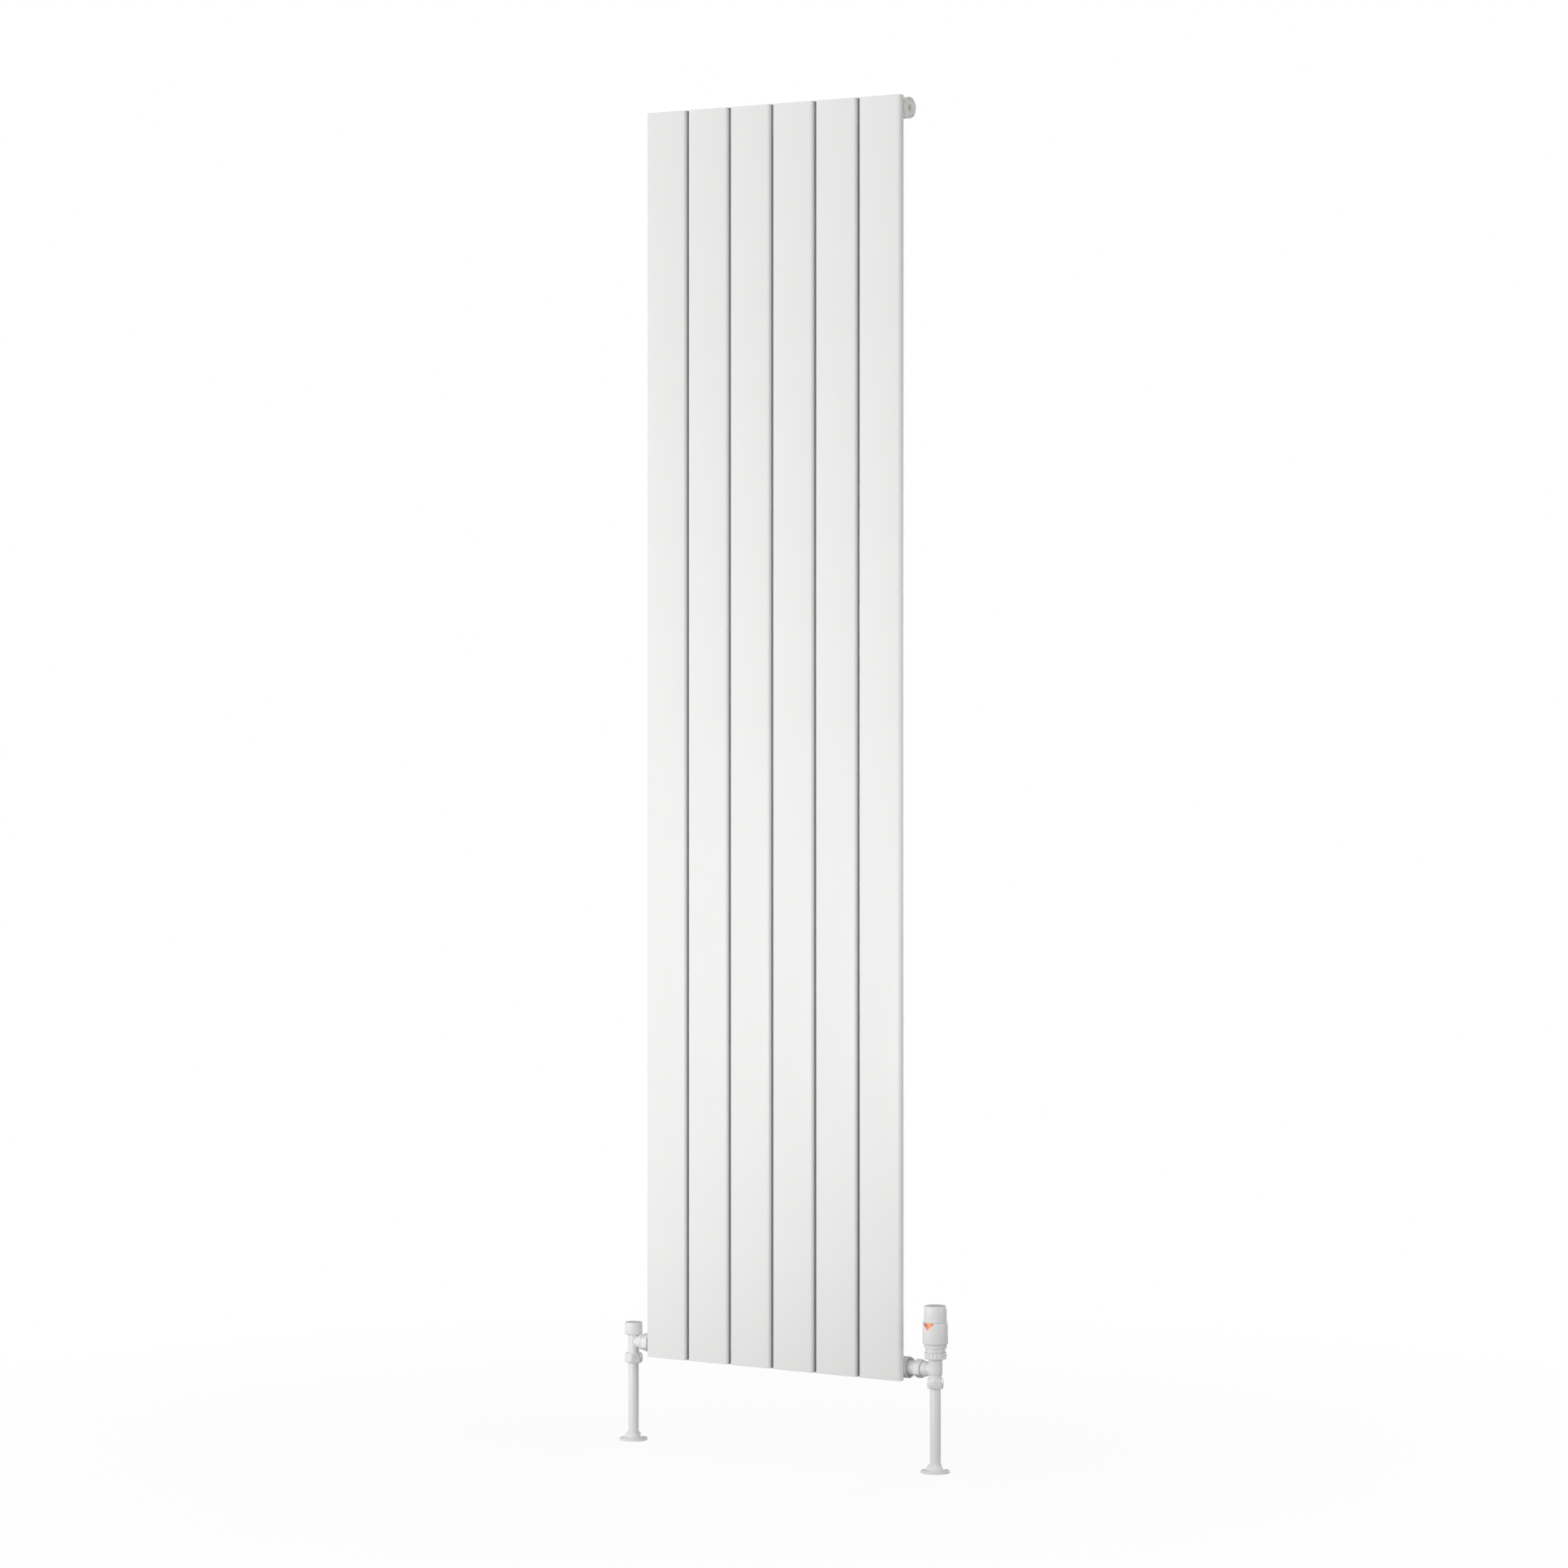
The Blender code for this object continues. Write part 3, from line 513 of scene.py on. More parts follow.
def make_air_vent():
    corners = [
        (1.2, -13.0, 0.0),
        (8.9, -13.0, 0.6),
        (8.9, -1.6, 0.1),
        (11.7, -1.6, 0.2),
        (11.7, 0.0, 0.45),
        (6.8, 0.0, 0.2),
        (6.8, -0.6, 0.15),
        (4.2, -0.6, 0.25),
        (4.2, -6.5, 0.1),
        (3.2, -6.5, 0.1),
        (3.2, -11.0, 0.0),
        (1.2, -12.0, 0.0),
    ]
    vent = turned("air_vent_plug_disc", corners, "-X", 64)
    place(vent, -HALF_WIDTH, HEADER_HIGH.y, HEADER_HIGH.z)
    show(vent, ROOT, PLUG_PLASTIC, "cream_plastic", "air_vent_plug")
    shank = [(0, -11.7, 0), (0.9, -11.5, 0.1), (2.9, -10.4, 0.2), (2.9, -6.2, 0.1), (0, -6.2, 0)]
    screw = turned("bleed_screw_key", shank, "-X", 48)
    head = prism("key", circle(3.5, 4, math.pi / 4), -6.4, -0.9, AXES["-X"])
    bevelled(head, 0.25, 2)
    combine(screw, head, "UNION")
    place(screw, -HALF_WIDTH, HEADER_HIGH.y, HEADER_HIGH.z)
    show(screw, "bleed_screw", BRASS_X, "brass", "bleed_screw")


def along_x(name, outline, half):
    return prism(name, outline, -half, half, YZ_ALONG_X)


def make_lug(number, bracket, level, side):
    """Hook plate welded to the panel's back, open downwards over the bracket's pin."""
    low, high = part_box(bracket)
    pin_z = (low.z + high.z) / 2
    root = FRONT / MM + PANEL_DEPTH - 0.1 - PIN_Y
    slot = 4.4
    arch = [(slot * math.cos(a), slot * math.sin(a)) for a in (math.pi * (1 - i / 16) for i in range(17))]
    outline = (
        [(root, -16.0), (-slot - 0.6, -16.0), (-slot, -15.2)]
        + arch
        + [(slot, -15.2), (slot + 0.6, -16.0), (8.2, -16.0), (9.0, -15.0), (9.0, 13.0), (8.2, 15.2)]
        + [(3.0, 21.2), (1.2, 22.3), (root, 26.0)]
    )
    plate = along_x(f"lug_{level}_{side}", outline, 1.5)
    bevelled(plate, 0.3, 2, 50)
    place(plate, (low.x + high.x) / 2, PIN_Y * MM, pin_z)
    show(plate, ROOT, PANEL_PAINT, "white_paint")
    for sign in (-1, 1):
        bead = weld_bead(f"lug_weld_{level}_{side}_{'b' if sign > 0 else 'a'}", 40.0)
        x = (low.x + high.x) / 2 + sign * 1.7 * MM
        place(bead, x, FRONT + (PANEL_DEPTH + 0.2) * MM, pin_z + 5.0 * MM)
        show(bead, ROOT, PANEL_PAINT, "white_paint")


def weld_bead(name, length):
    """A rippled bead along Z."""
    bm = bmesh.new()
    rings = []
    steps = 60
    for i in range(steps + 1):
        share = i / steps
        swell = (1.25 + 0.12 * math.sin(i * 1.9)) * min(1.0, 6 * share + 0.15, 6 * (1 - share) + 0.15)
        z = (share - 0.5) * length * MM
        across = Vector((swell * MM, 0, 0))
        rings.append(ring_of(bm, Vector((0, 0, z)), across, Vector((0, swell * MM, 0))))
    lofted(bm, rings, False)
    return add_object(name, bm)


def make_bracket(level, side):
    """A wall channel whose two cheeks carry a cross pin with a nylon sleeve."""
    node = f"wall_bracket_{level}_{side}"
    low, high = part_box(node)
    wall = high.y / MM - PIN_Y
    nose = [(8.0 * math.cos(a), 8.0 * math.sin(a)) for a in (math.pi * (0.5 + i / 16) for i in range(17))]
    above = [(wall, -30.0), (wall, 30.0), (wall - 5.0, 30.0), (6.0, 8.0)]
    outline = above + nose + [(6.0, -8.0), (wall - 5.0, -30.0)]
    bracket = along_x(f"{node}_channel", outline, 9.5)
    channel = [(-7.0, -20.0), (7.0, -20.0), (7.0, wall - 3.0), (-7.0, wall - 3.0)]
    combine(bracket, prism("channel", channel, -40.0, 40.0), "DIFFERENCE")
    for height in (-20.0, 20.0):
        hole = prism("hole", circle(3.2, 32), wall - 6.0, wall + 2.0, AXES["+Y"])
        combine(bracket, place(hole, 0, 0, height * MM), "DIFFERENCE")
    bevelled(bracket, 0.35, 2, 50)
    pin_corners = [(0, -9.4, 0), (3.0, -9.4, 0.4), (3.0, 9.4, 0.4), (0, 9.4, 0)]
    combine(bracket, turned("pin", pin_corners, "+X", 40), "UNION")
    middle_z = (low.z + high.z) / 2
    middle_x = (low.x + high.x) / 2
    place(bracket, middle_x, PIN_Y * MM, middle_z)
    show(bracket, ROOT, BRACKET_PAINT, "white_paint", node)
    sleeve_corners = [(3.3, -6.7, 0.2), (4.1, -6.7, 0.2), (4.1, 6.7, 0.2), (3.3, 6.7, 0.2)]
    sleeve = turned(f"isolator_{level}_{side}_sleeve", sleeve_corners, "+X", 40)
    place(sleeve, middle_x, PIN_Y * MM, middle_z)
    show(sleeve, ROOT, NYLON, "grey_nylon", f"isolator_{level}_{side}")


def make_radiator():
    for number in range(1, PANEL_COUNT + 1):
        make_panel(number)
    for level, middle in (("bottom", HEADER_LOW), ("top", HEADER_HIGH)):
        make_header(level, middle)
        make_port_welds(level, middle)
        for side in SIDES:
            make_end_bush(level, side)
    make_blanking_plug()
    make_air_vent()
    for level in ("lower", "upper"):
        for side, number in zip(SIDES, LUG_PANELS):
            make_bracket(level, side)
            make_lug(number, f"wall_bracket_{level}_{side}", level, side)


# ---------------------------------------------------------------- pipes, collars and nuts


def on_pipe(piece, side):
    return place(piece, PIPE[side].x, PIPE[side].y, 0.0)


def on_branch(piece, side):
    return place(piece, SIDES[side][0] * HALF_WIDTH, HEADER_LOW.y, HEADER_LOW.z)


def make_pipe(side):
    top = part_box(f"pipe_{side}")[1].z / MM
    corners = [(6.5, 0.0, 0.0), (7.5, 0.0, 0.0), (7.5, top, 0.3), (6.5, top, 0.3)]
    pipe = turned(f"pipe_{side}_tube", corners, "+Z", 56)
    show(on_pipe(pipe, side), ROOT, PIPE_PAINT, "white_paint", f"pipe_{side}")


def make_collar(side):
    corners = [
        (18.4, 0.0, 0.0),
        (20.6, 0.0, 0.3),
        (20.6, 2.2, 0.8),
        (19.8, 3.0, 1.5),
        (14.2, 4.3, 2.5),
        (12.8, 5.6, 1.5),
        (11.8, 8.2, 3.0),
        (9.8, 10.3, 2.5),
        (8.6, 11.5, 0.4),
        (7.8, 11.5, 0.2),
        (7.8, 8.0, 0.2),
        (10.2, 7.0, 1.0),
        (11.6, 3.2, 1.0),
        (18.4, 2.0, 0.4),
    ]
    collar = turned(f"collar_{side}_rose", corners, "+Z", 72)
    show(on_pipe(collar, side), f"collar_{side}", COLLAR_PLASTIC, "white_plastic", f"collar_{side}")


def hex_nut(name, across_flats, low, high, first, chamfer, bores):
    """A hexagon nut along Z with turned chamfers and softened edges."""
    corner = across_flats / math.sqrt(3)
    nut = prism(name, circle(corner, 6, math.radians(first)), low, high)
    start = corner - chamfer
    mask = [
        (0.0, low - 0.1, 0.0),
        (start, low - 0.1, 0.0),
        (corner + 0.2, low + chamfer + 0.1, 0.0),
        (corner + 0.2, high - chamfer - 0.1, 0.0),
        (start, high + 0.1, 0.0),
        (0.0, high + 0.1, 0.0),
    ]
    combine(nut, turned("mask", mask, "+Z", 64), "INTERSECT")
    for radius, start, end in bores:
        combine(nut, bore(radius, start, end), "DIFFERENCE")
    return bevelled(nut, 0.22, 2, 24)


def bore(radius, low, high, segments=64):
    return turned("bore", [(0, low, 0), (radius, low, 0), (radius, high, 0), (0, high, 0)], "+Z", segments)


def make_union(prefix, side):
    axis = SIDES[side][1]
    corners = [
        (6.0, -13.5, 0.0),
        (8.9, -13.5, 0.6),
        (8.9, -2.9, 0.1),
        (10.5, -2.9, 0.3),
        (10.5, 3.6, 0.4),
        (10.1, 4.1, 0.3),
        (10.5, 4.6, 0.4),
        (10.5, 10.4, 0.7),
        (7.9, 10.4, 0.3),
        (7.9, 13.8, 0.1),
        (7.0, 13.8, 0.1),
        (7.0, 15.8, 0.1),
        (7.9, 15.8, 0.1),
        (7.9, 16.2, 0.1),
        (6.0, 16.2, 0.1),
    ]
    tail = turned(f"{prefix}_tail_piece", corners, axis, 56)
    show(on_branch(tail, side), ROOT, VALVE_PAINT, "white_paint", f"{prefix}_tail")
    bores = ((8.2, 10.0, 22.7), (9.9, 13.5, 22.7))
    nut = hex_nut(f"{prefix}_union_hexagon", 23.0, 11.0, 21.7, 0.0, 1.5, bores)
    nut.data.transform(AXES[axis])
    show(on_branch(nut, side), ROOT, VALVE_PAINT, "white_paint", f"{prefix}_union_nut")


def make_compression_nut(prefix, side, across_flats, low, high, chamfer):
    bores = ((7.8, low - 1, high + 1), (9.2, low + 3.2, high + 1))
    nut = hex_nut(f"{prefix}_compression_hexagon", across_flats, low, high, -8.0, chamfer, bores)
    show(on_pipe(nut, side), ROOT, VALVE_PAINT, "white_paint", f"{prefix}_compression_nut")


# ---------------------------------------------------------------- valve bodies


def forged(name, upright, branch, side, waterway, branch_bore):
    """Two turned shapes run together with a soft fillet, as on a forging, then bored."""
    body = on_pipe(turned(name, upright, "+Z", 80), side)
    arm = on_branch(turned("arm", branch, SIDES[side][1], 80), side)
    combine(body, arm, "UNION")
    remesh = body.modifiers.new("remesh", "REMESH")
    remesh.mode = "VOXEL"
    remesh.voxel_size = 0.4 * MM
    remesh.use_smooth_shade = True
    smooth = body.modifiers.new("smooth", "SMOOTH")
    smooth.factor = 0.5
    smooth.iterations = 7
    decimate = body.modifiers.new("decimate", "DECIMATE")
    decimate.ratio = 0.2
    applied(body)
    hole = on_pipe(turned("waterway", waterway, "+Z", 48), side)
    combine(body, hole, "DIFFERENCE")
    arm_hole = [(0, 16.8, 0), (branch_bore, 16.8, 0), (branch_bore, BRANCH_REACH, 0), (0, BRANCH_REACH, 0)]
    combine(body, on_branch(turned("arm_hole", arm_hole, SIDES[side][1], 48), side), "DIFFERENCE")
    return body


def make_trv_body():
    upright = [
        (0, 124.7, 0),
        (8.9, 124.7, 0.3),
        (8.9, 136.0, 1.5),
        (9.9, 138.4, 1.5),
        (9.9, 157.0, 2.5),
        (10.3, 158.8, 1.5),
        (13.6, 160.9, 0.3),
        (13.6, 163.5, 0.3),
        (0, 163.5, 0),
    ]
    branch = [
        (0, 17.8, 0),
        (9.4, 17.8, 0.2),
        (9.4, 22.5, 0.2),
        (10.4, 22.5, 0.4),
        (11.0, 24.0, 1.5),
        (10.8, 26.5, 4.0),
        (9.7, 29.5, 4.0),
        (8.9, 32.0, 3.0),
        (8.9, BRANCH_REACH, 0),
        (0, BRANCH_REACH, 0),
    ]
    waterway = [
        (0, 121.0, 0),
        (7.8, 121.0, 0),
        (7.8, 134.3, 0),
        (6.0, 134.3, 0),
        (6.0, 137.4, 0),
        (4.6, 137.4, 0),
        (4.6, 139.0, 0),
        (8.3, 139.0, 0),
        (8.3, 164.5, 0),
        (0, 164.5, 0),
    ]
    body = forged("trv_body_forging", upright, branch, "right", waterway, 4.4)
    show(body, ROOT, VALVE_PAINT, "white_paint", "trv_body")


def make_lockshield_body():
    upright = [
        (0, 119.0, 0),
        (8.9, 119.0, 0.3),
        (8.9, 126.2, 0.5),
        (8.0, 127.5, 0.6),
        (8.0, 156.3, 0.4),
        (0, 156.3, 0),
    ]
    branch = [
        (0, 17.8, 0),
        (9.4, 17.8, 0.2),
        (9.4, 22.3, 0.2),
        (11.7, 22.3, 0.5),
        (11.7, 24.6, 1.5),
        (6.7, 36.8, 2.0),
        (6.7, BRANCH_REACH, 0),
        (0, BRANCH_REACH, 0),
    ]
    waterway = [
        (0, 118.0, 0),
        (7.8, 118.0, 0),
        (7.8, 124.8, 0),
        (5.0, 124.8, 0),
        (5.0, 136.6, 0),
        (3.6, 136.6, 0),
        (3.6, 138.2, 0),
        (6.2, 138.2, 0),
        (6.2, 157.0, 0),
        (0, 157.0, 0),
    ]
    body = forged("lockshield_body_forging", upright, branch, "left", waterway, 4.4)
    show(body, ROOT, VALVE_PAINT, "white_paint", "lockshield_body")


# ---------------------------------------------------------------- thermostatic head

RIBS = 18


def rib_outline(crest, valley):
    """Ribs with rounded crests round a ring nut."""
    points = []
    steps = RIBS * 14
    for i in range(steps):
        angle = math.tau * i / steps
        wave = math.sin(RIBS * angle)
        shape = 0.5 + 0.5 * math.tanh(2.6 * wave + 0.5) / math.tanh(3.1)
        radius = valley + (crest - valley) * min(1.0, shape)
        points.append((radius * math.cos(angle), radius * math.sin(angle)))
    return points


def make_ring_nut():
    nut = prism("trv_ring_nut_ribs", rib_outline(15.73, 14.75), 159.1, 168.2)
    mask_low = [(0, 159.0, 0), (14.9, 159.0, 0), (15.9, 160.2, 0)]
    mask = mask_low + [(15.9, 167.1, 0), (14.9, 168.3, 0), (0, 168.3, 0)]
    combine(nut, turned("mask", mask, "+Z", 64), "INTERSECT")
    for radius, low, high in ((12.4, 158.0, 170.0), (13.9, 158.0, 166.1)):
        combine(nut, bore(radius, low, high, 72), "DIFFERENCE")
    show(on_pipe(nut, "right"), ROOT, HEAD_PLASTIC, "white_plastic", "trv_ring_nut")


def make_head_base():
    corners = [
        (10.2, 163.8, 0.1),
        (13.6, 163.8, 0.2),
        (13.6, 165.8, 0.2),
        (12.1, 165.8, 0.1),
        (12.1, 168.5, 0.1),
        (14.2, 168.5, 0.4),
        (14.2, 174.1, 0.2),
        (13.6, 174.7, 0.2),
        (13.6, 190.0, 0.4),
        (10.2, 190.0, 0.4),
    ]
    base = turned("trv_head_base_ring", corners, "+Z", 72)
    show(on_pipe(base, "right"), ROOT, HEAD_PLASTIC, "white_plastic", "trv_head_base")


KNOB_RADIUS = 17.65
CAP_RADIUS = 15.9
SLEEVE_TOP = 210.4


def make_knob():
    sleeve_corners = [
        (14.6, 174.0, 0.2),
        (CAP_RADIUS, 174.0, 0.6),
        (CAP_RADIUS, 178.9, 1.0),
        (KNOB_RADIUS, 180.8, 1.2),
        (KNOB_RADIUS, SLEEVE_TOP, 0.5),
        (14.8, SLEEVE_TOP, 0.2),
        (14.8, 196.5, 0.2),
        (9.0, 196.5, 0.2),
        (9.0, 193.9, 0.2),
        (14.6, 193.9, 0.2),
    ]
    sleeve = turned("trv_knob_sleeve_shell", sleeve_corners, "+Z", 96)
    combine(sleeve, pointer_solid("pocket", 0.12, KNOB_RADIUS - 0.9, KNOB_RADIUS + 2.0), "DIFFERENCE")
    show(on_pipe(sleeve, "right"), "trv_knob", HEAD_PLASTIC, "white_plastic", "trv_knob_sleeve")
    seam = SLEEVE_TOP + 0.35
    cap_corners = [
        (12.9, 202.1, 0.2),
        (14.5, 202.1, 0.3),
        (14.5, seam, 0.1),
        (CAP_RADIUS, seam, 0.35),
        (CAP_RADIUS, 233.3, 3.0),
        (11.0, 233.3, 0.5),
        (9.8, 232.9, 0.5),
        (0, 232.9, 0),
        (0, 231.3, 0),
        (12.9, 231.3, 1.0),
    ]
    cap = turned("trv_knob_cap_shell", cap_corners, "+Z", 96)
    show(on_pipe(cap, "right"), "trv_knob", HEAD_PLASTIC, "white_plastic", "trv_knob_cap")
    pointer = pointer_solid("trv_pointer_inlay", 0.0, KNOB_RADIUS - 0.6, KNOB_RADIUS + 0.08)
    show(on_pipe(pointer, "right"), "trv_knob", COPPER, "copper", "trv_pointer")


def pointer_solid(name, grow, inner, outer):
    """An inverted triangle with rounded corners, facing the front, between two radii."""
    top = 209.7 + grow
    tip = 200.9 - grow
    side = 9.5 + 1.6 * grow
    outline = rounded([(-side, top, 0.5), (0.0, tip - 0.9, 1.6), (side, top, 0.5)])
    turn = Matrix(((1, 0, 0, 0), (0, 0, 1, 0), (0, 1, 0, 0), (0, 0, 0, 1)))
    pointer = prism(name, outline, -20.0, -10.0, turn)
    pointer.data.flip_normals()
    pointer.data.transform(Matrix.Rotation(math.radians(-6.0), 4, "Z"))
    ring = [(inner, 195.0, 0), (outer, 195.0, 0), (outer, 215.0, 0), (inner, 215.0, 0)]
    return combine(pointer, turned("shell", ring, "+Z", 96), "INTERSECT")


def make_sensor():
    corners = [
        (0, 175.3, 0),
        (1.8, 175.3, 0.3),
        (1.8, 179.5, 0.2),
        (8.5, 180.5, 0.6),
        (8.5, 184.5, 0.2),
        (8.2, 184.9, 0.2),
        (8.5, 185.3, 0.2),
        (8.5, 216.5, 1.2),
        (0, 216.5, 0),
    ]
    sensor = turned("trv_sensor_capsule", corners, "+Z", 64)
    show(on_pipe(sensor, "right"), "trv_head", BRASS_Z, "brass", "trv_sensor")


def make_stem_spring():
    """The stem's return spring, drawn as a fixed coil. The real one closes up as the stem goes down, and at
    the end its coils overlap.
    """
    low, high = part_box("trv_stem_spring")
    wire = 0.44
    mean = 3.7
    turns = 4
    steps = 24
    start = low.z / MM + wire
    rise = high.z / MM - wire - start
    bm = bmesh.new()
    rings = []
    for i in range(turns * steps + 1):
        angle = math.tau * i / steps
        outward = Vector((math.cos(angle), math.sin(angle), 0.0))
        middle = outward * mean + Vector((0.0, 0.0, start + rise * i / (turns * steps)))
        rings.append(ring_of(bm, middle * MM, outward * (wire * MM), Vector((0.0, 0.0, wire * MM))))
    lofted(bm, rings, False)
    spring = on_pipe(add_object("trv_stem_spring_coils", bm), "right")
    spring.data.materials.append(STEEL_Z)
    spring.data.shade_smooth()
    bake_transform(spring)
    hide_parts("trv_stem_spring")


# ---------------------------------------------------------------- lockshield top


def make_lockshield_top():
    cap_corners = [
        (8.3, 152.8, 0.1),
        (10.8, 153.0, 0.5),
        (12.8, 155.0, 1.2),
        (12.8, 171.5, 1.4),
        (9.6, 171.5, 0.3),
        (9.0, 171.2, 0.3),
        (0, 171.2, 0),
        (0, 169.9, 0),
        (11.2, 169.9, 0.5),
        (11.2, 156.0, 0.4),
        (8.3, 154.4, 0.2),
    ]
    cap = turned("lockshield_cap_shell", cap_corners, "+Z", 72)
    show(on_pipe(cap, "left"), "lockshield_cap", HEAD_PLASTIC, "white_plastic", "lockshield_cap")
    gland = hex_nut("lockshield_gland_hexagon", 13.0, 156.6, 160.0, 0.0, 0.7, ())
    spigot = turned("spigot", [(0, 153.6, 0), (5.9, 153.6, 0.3), (5.9, 157.2, 0), (0, 157.2, 0)], "+Z", 64)
    combine(gland, spigot, "UNION")
    for radius, low, high in ((2.8, 153.0, 161.0), (4.5, 158.0, 161.0)):
        combine(gland, bore(radius, low, high), "DIFFERENCE")
    show(on_pipe(gland, "left"), ROOT, BRASS_Z, "brass", "lockshield_gland_nut")
    spindle_corners = [
        (0, 141.5, 0),
        (2.0, 141.5, 0.3),
        (2.0, 147.5, 0.1),
        (5.9, 147.5, 0.4),
        (5.9, 151.5, 0.4),
        (2.5, 151.5, 0.2),
        (2.5, 162.3, 0.4),
        (0, 162.3, 0),
    ]
    spindle = turned("lockshield_spindle_rod", spindle_corners, "+Z", 64)
    socket = prism("socket", circle(1.6, 6), 159.0, 163.0)
    combine(spindle, socket, "DIFFERENCE")
    show(on_pipe(spindle, "left"), "lockshield_spindle", BRASS_Z, "brass", "lockshield_spindle")


# ---------------------------------------------------------------- hidden CAD pieces keep their shape

KEPT = {
    "blanking_plug_seal": RUBBER,
    "air_vent_seal": RUBBER,
    "trv_union_seal": RUBBER,
    "lockshield_union_seal": RUBBER,
    "trv_stem_seal": RUBBER,
    "trv_stem_disc": RUBBER,
    "lockshield_gland_seal": RUBBER,
    "lockshield_washer": RUBBER,
    "trv_union_ring": STEEL_X,
    "lockshield_union_ring": STEEL_X,
    "trv_stem": STEEL_Z,
    "trv_olive": BRASS_Z,
    "lockshield_olive": BRASS_Z,
    "trv_gland": BRASS_Z,
}


def finish_kept_nodes():
    for node, finish in KEPT.items():
        piece = NODES[node]
        for index in range(len(piece.material_slots)):
            piece.material_slots[index].material = finish


# ---------------------------------------------------------------- studio


FLOOR_BOUNCE = 0.8
FLOOR_DARKER = (0.55, 0.84, 0.0)


def make_floor():
    """A round pale floor that turns into the background's white away from the object."""
    bm = bmesh.new()
    bmesh.ops.create_circle(bm, cap_ends=True, radius=60.0, segments=96)
    floor = add_object("floor", bm)
    g = Graph(bpy.data.materials.new("floor_white"))
    g.shader.inputs["Base Color"].default_value = (0.92, 0.92, 0.92, 1.0)
    g.shader.inputs["Roughness"].default_value = 0.9
    g.shader.inputs["Specular IOR Level"].default_value = 0.1
    place_at = g.node("ShaderNodeNewGeometry").outputs["Position"]
    length = g.node("ShaderNodeVectorMath", operation="LENGTH")
    g.link(place_at, length.inputs[0])
    fade = g.ranged(length.outputs["Value"], 0.92, 1.0, 0.3, 1.6)
    glow = g.node("ShaderNodeEmission", Color=(1.0, 1.0, 1.0, 1.0), Strength=1.0)
    seen_floor = g.node("ShaderNodeMixShader")
    g.link(fade, seen_floor.inputs[0])
    g.link(g.shader.outputs["BSDF"], seen_floor.inputs[1])
    g.link(glow.outputs["Emission"], seen_floor.inputs[2])
    nearer = g.node("ShaderNodeVectorMath", operation="DOT_PRODUCT")
    nearer.inputs[1].default_value = FLOOR_DARKER
    g.link(place_at, nearer.inputs[0])
    bounce = g.node("ShaderNodeEmission", Color=(1.0, 1.0, 1.0, 1.0))
    g.link(g.ranged(nearer.outputs["Value"], FLOOR_BOUNCE, 0.1, -0.9, 0.25), bounce.inputs["Strength"])
    choice = g.node("ShaderNodeMixShader")
    g.link(g.node("ShaderNodeLightPath").outputs["Is Camera Ray"], choice.inputs[0])
    g.link(bounce.outputs["Emission"], choice.inputs[1])
    g.link(seen_floor.outputs["Shader"], choice.inputs[2])
    g.link(choice.outputs["Shader"], g.tree.nodes["Material Output"].inputs["Surface"])
    floor.data.materials.append(g.material)


SKY_SIDE = (-0.66, -0.69, 0.30)
SKY_BRIGHT = 0.9
SKY_DIM = 0.06


def make_world():
    """White to the camera; on the object, a broad soft light from the front left that dies away behind."""
    world = bpy.data.worlds.new("studio")
    bpy.context.scene.world = world
    world.use_nodes = True
    tree = world.node_tree
    background = tree.nodes["Background"]
    background.inputs["Color"].default_value = (1.0, 1.0, 1.0, 1.0)
    direction = tree.nodes.new("ShaderNodeTexCoord")
    facing = tree.nodes.new("ShaderNodeVectorMath")
    facing.operation = "DOT_PRODUCT"
    facing.inputs[1].default_value = SKY_SIDE
    fall = tree.nodes.new("ShaderNodeMapRange")
    fall.inputs["From Min"].default_value = -0.2
    fall.inputs["From Max"].default_value = 0.95
    fall.inputs["To Min"].default_value = SKY_DIM
    fall.inputs["To Max"].default_value = SKY_BRIGHT
    seen = tree.nodes.new("ShaderNodeLightPath")
    mix = tree.nodes.new("ShaderNodeMix")
    mix.inputs[3].default_value = 1.0
    tree.links.new(direction.outputs["Generated"], facing.inputs[0])
    tree.links.new(facing.outputs["Value"], fall.inputs["Value"])
    tree.links.new(seen.outputs["Is Camera Ray"], mix.inputs[0])
    tree.links.new(fall.outputs["Result"], mix.inputs[2])
    tree.links.new(mix.outputs[0], background.inputs["Strength"])


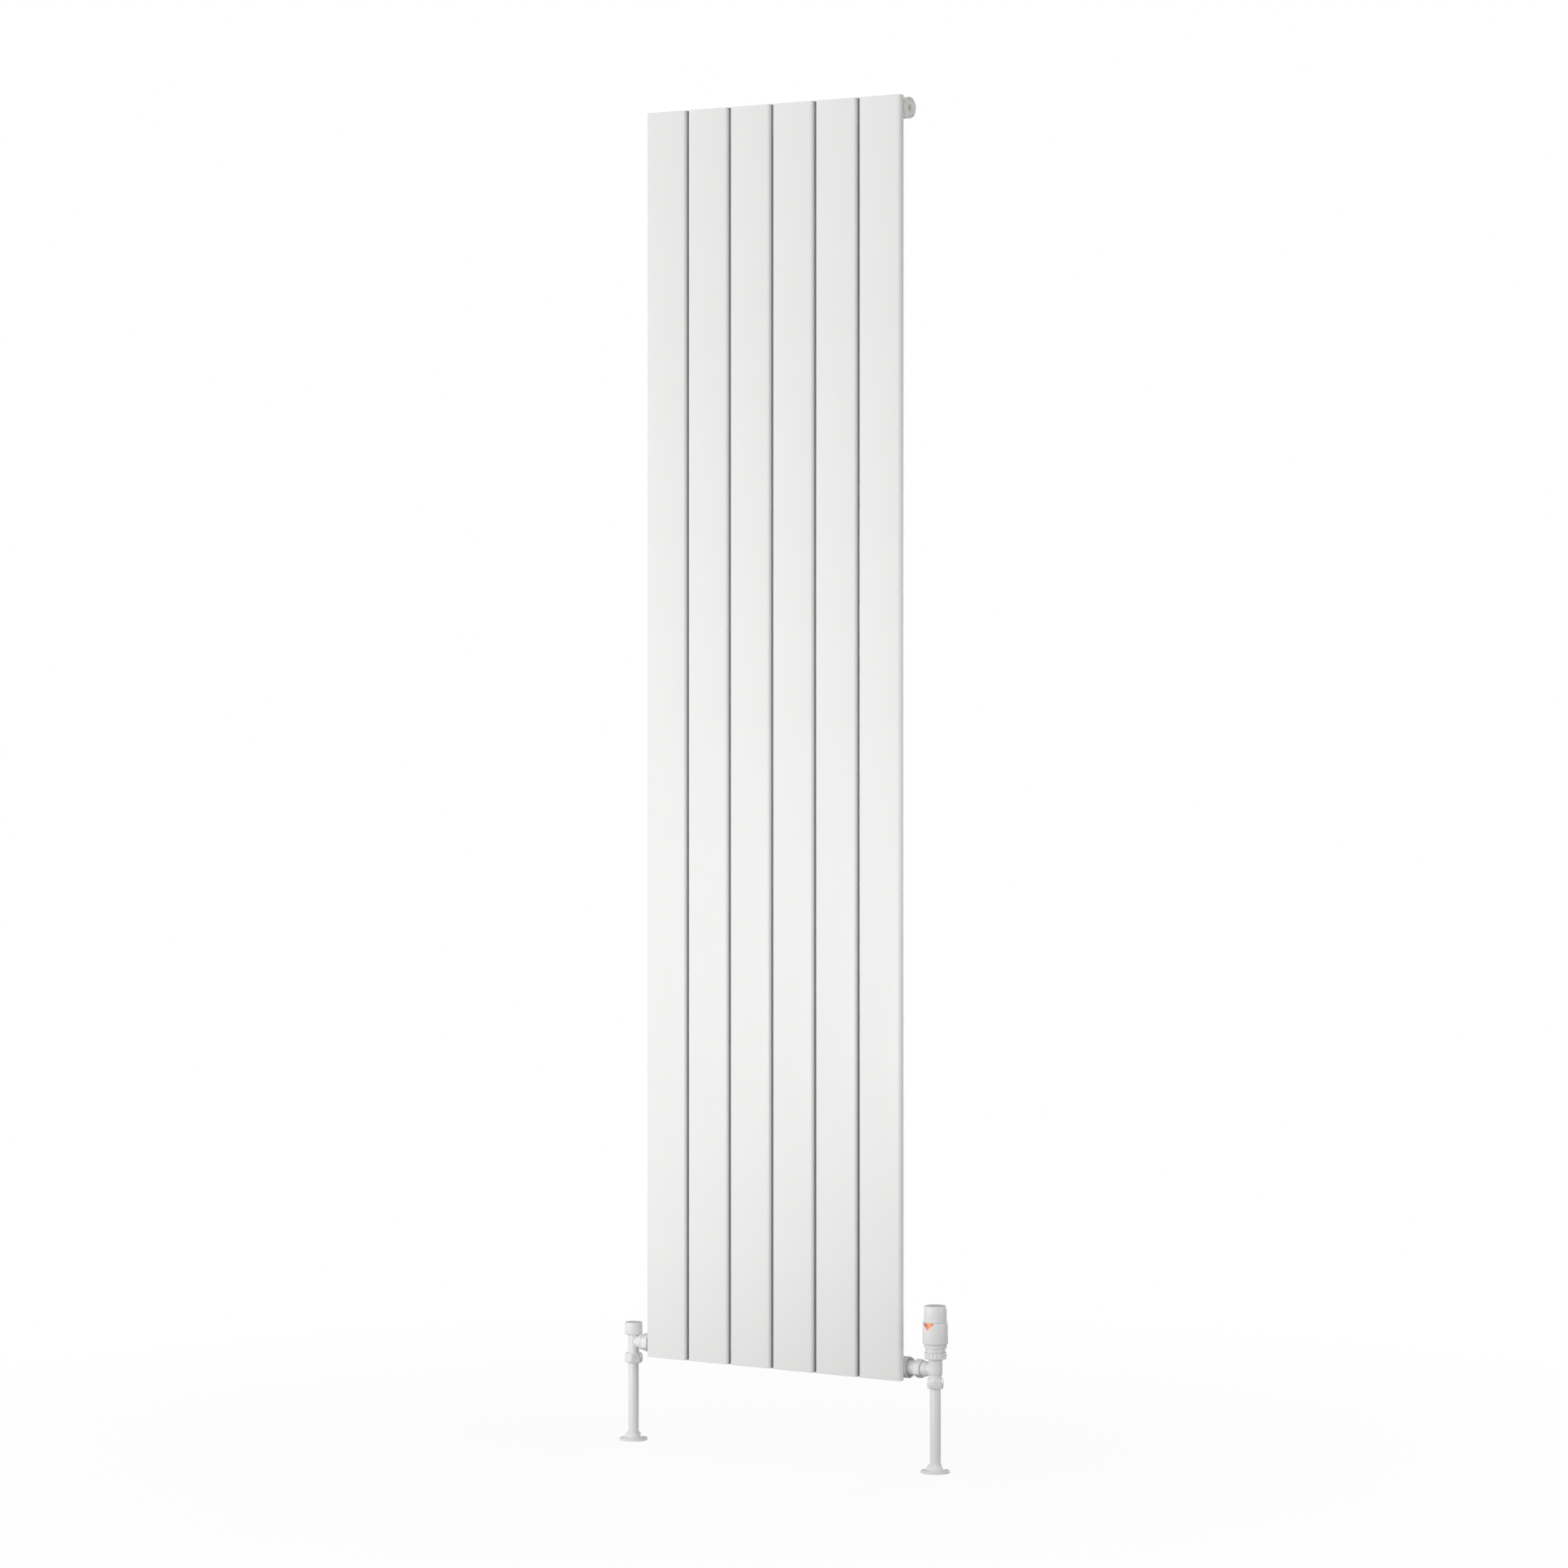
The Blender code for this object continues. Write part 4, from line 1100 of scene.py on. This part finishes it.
def soft_light(name, place_at, aim, size, power):
    light = bpy.data.lights.new(name, "AREA")
    light.shape = "RECTANGLE"
    light.size, light.size_y = size
    light.energy = power
    made = bpy.data.objects.new(name, light)
    bpy.context.scene.collection.objects.link(made)
    made.location = place_at
    made.rotation_euler = (Vector(aim) - Vector(place_at)).to_track_quat("-Z", "Y").to_euler()


def make_studio():
    make_floor()
    make_world()
    middle = (cad_low + cad_high) / 2
    soft_light("key", (-3.4, -4.4, 0.6), (0.0, 0.0, 0.6), (3.0, 3.0), 24.0)
    soft_light("fill", (2.6, -3.0, 1.0), middle, (1.6, 2.0), 10.0)
    soft_light("low", (-0.9, -2.5, 0.3), (0.2, 0.0, 0.15), (1.2, 0.5), 17.0)
    soft_light("rim", (3.2, 0.2, 1.0), middle, (1.5, 2.2), 42.0)
    soft_light("back", (0.2, 5.0, 1.0), middle, (0.9, 1.8), 110.0)
    soft_light("top", (-0.4, -0.7, 3.4), (0.0, 0.0, 1.0), (2.4, 2.4), 7.0)
    bpy.context.scene.view_settings.view_transform = "Standard"


def make_camera():
    """A long lens, level, with the frame shifted down."""
    camera = bpy.data.cameras.new("camera")
    camera.sensor_width = 36.0
    camera.lens = 115.94
    camera.shift_y = -0.08005
    camera.clip_end = 200.0
    made = bpy.data.objects.new("camera", camera)
    bpy.context.scene.collection.objects.link(made)
    made.location = (4.1106, -5.9286, 1.1378)
    made.rotation_euler = (math.radians(90.0), 0.0, math.radians(34.741))
    bpy.context.scene.camera = made


def main():
    make_camera()
    make_radiator()
    for prefix, side in (("trv", "right"), ("lockshield", "left")):
        make_pipe(side)
        make_collar(side)
        make_union(prefix, side)
    make_compression_nut("trv", "right", 21.0, 117.8, 131.2, 1.6)
    make_compression_nut("lockshield", "left", 23.6, 112.1, 126.9, 3.2)
    make_trv_body()
    make_lockshield_body()
    make_ring_nut()
    make_head_base()
    make_knob()
    make_sensor()
    make_stem_spring()
    make_lockshield_top()
    finish_kept_nodes()
    make_studio()


main()
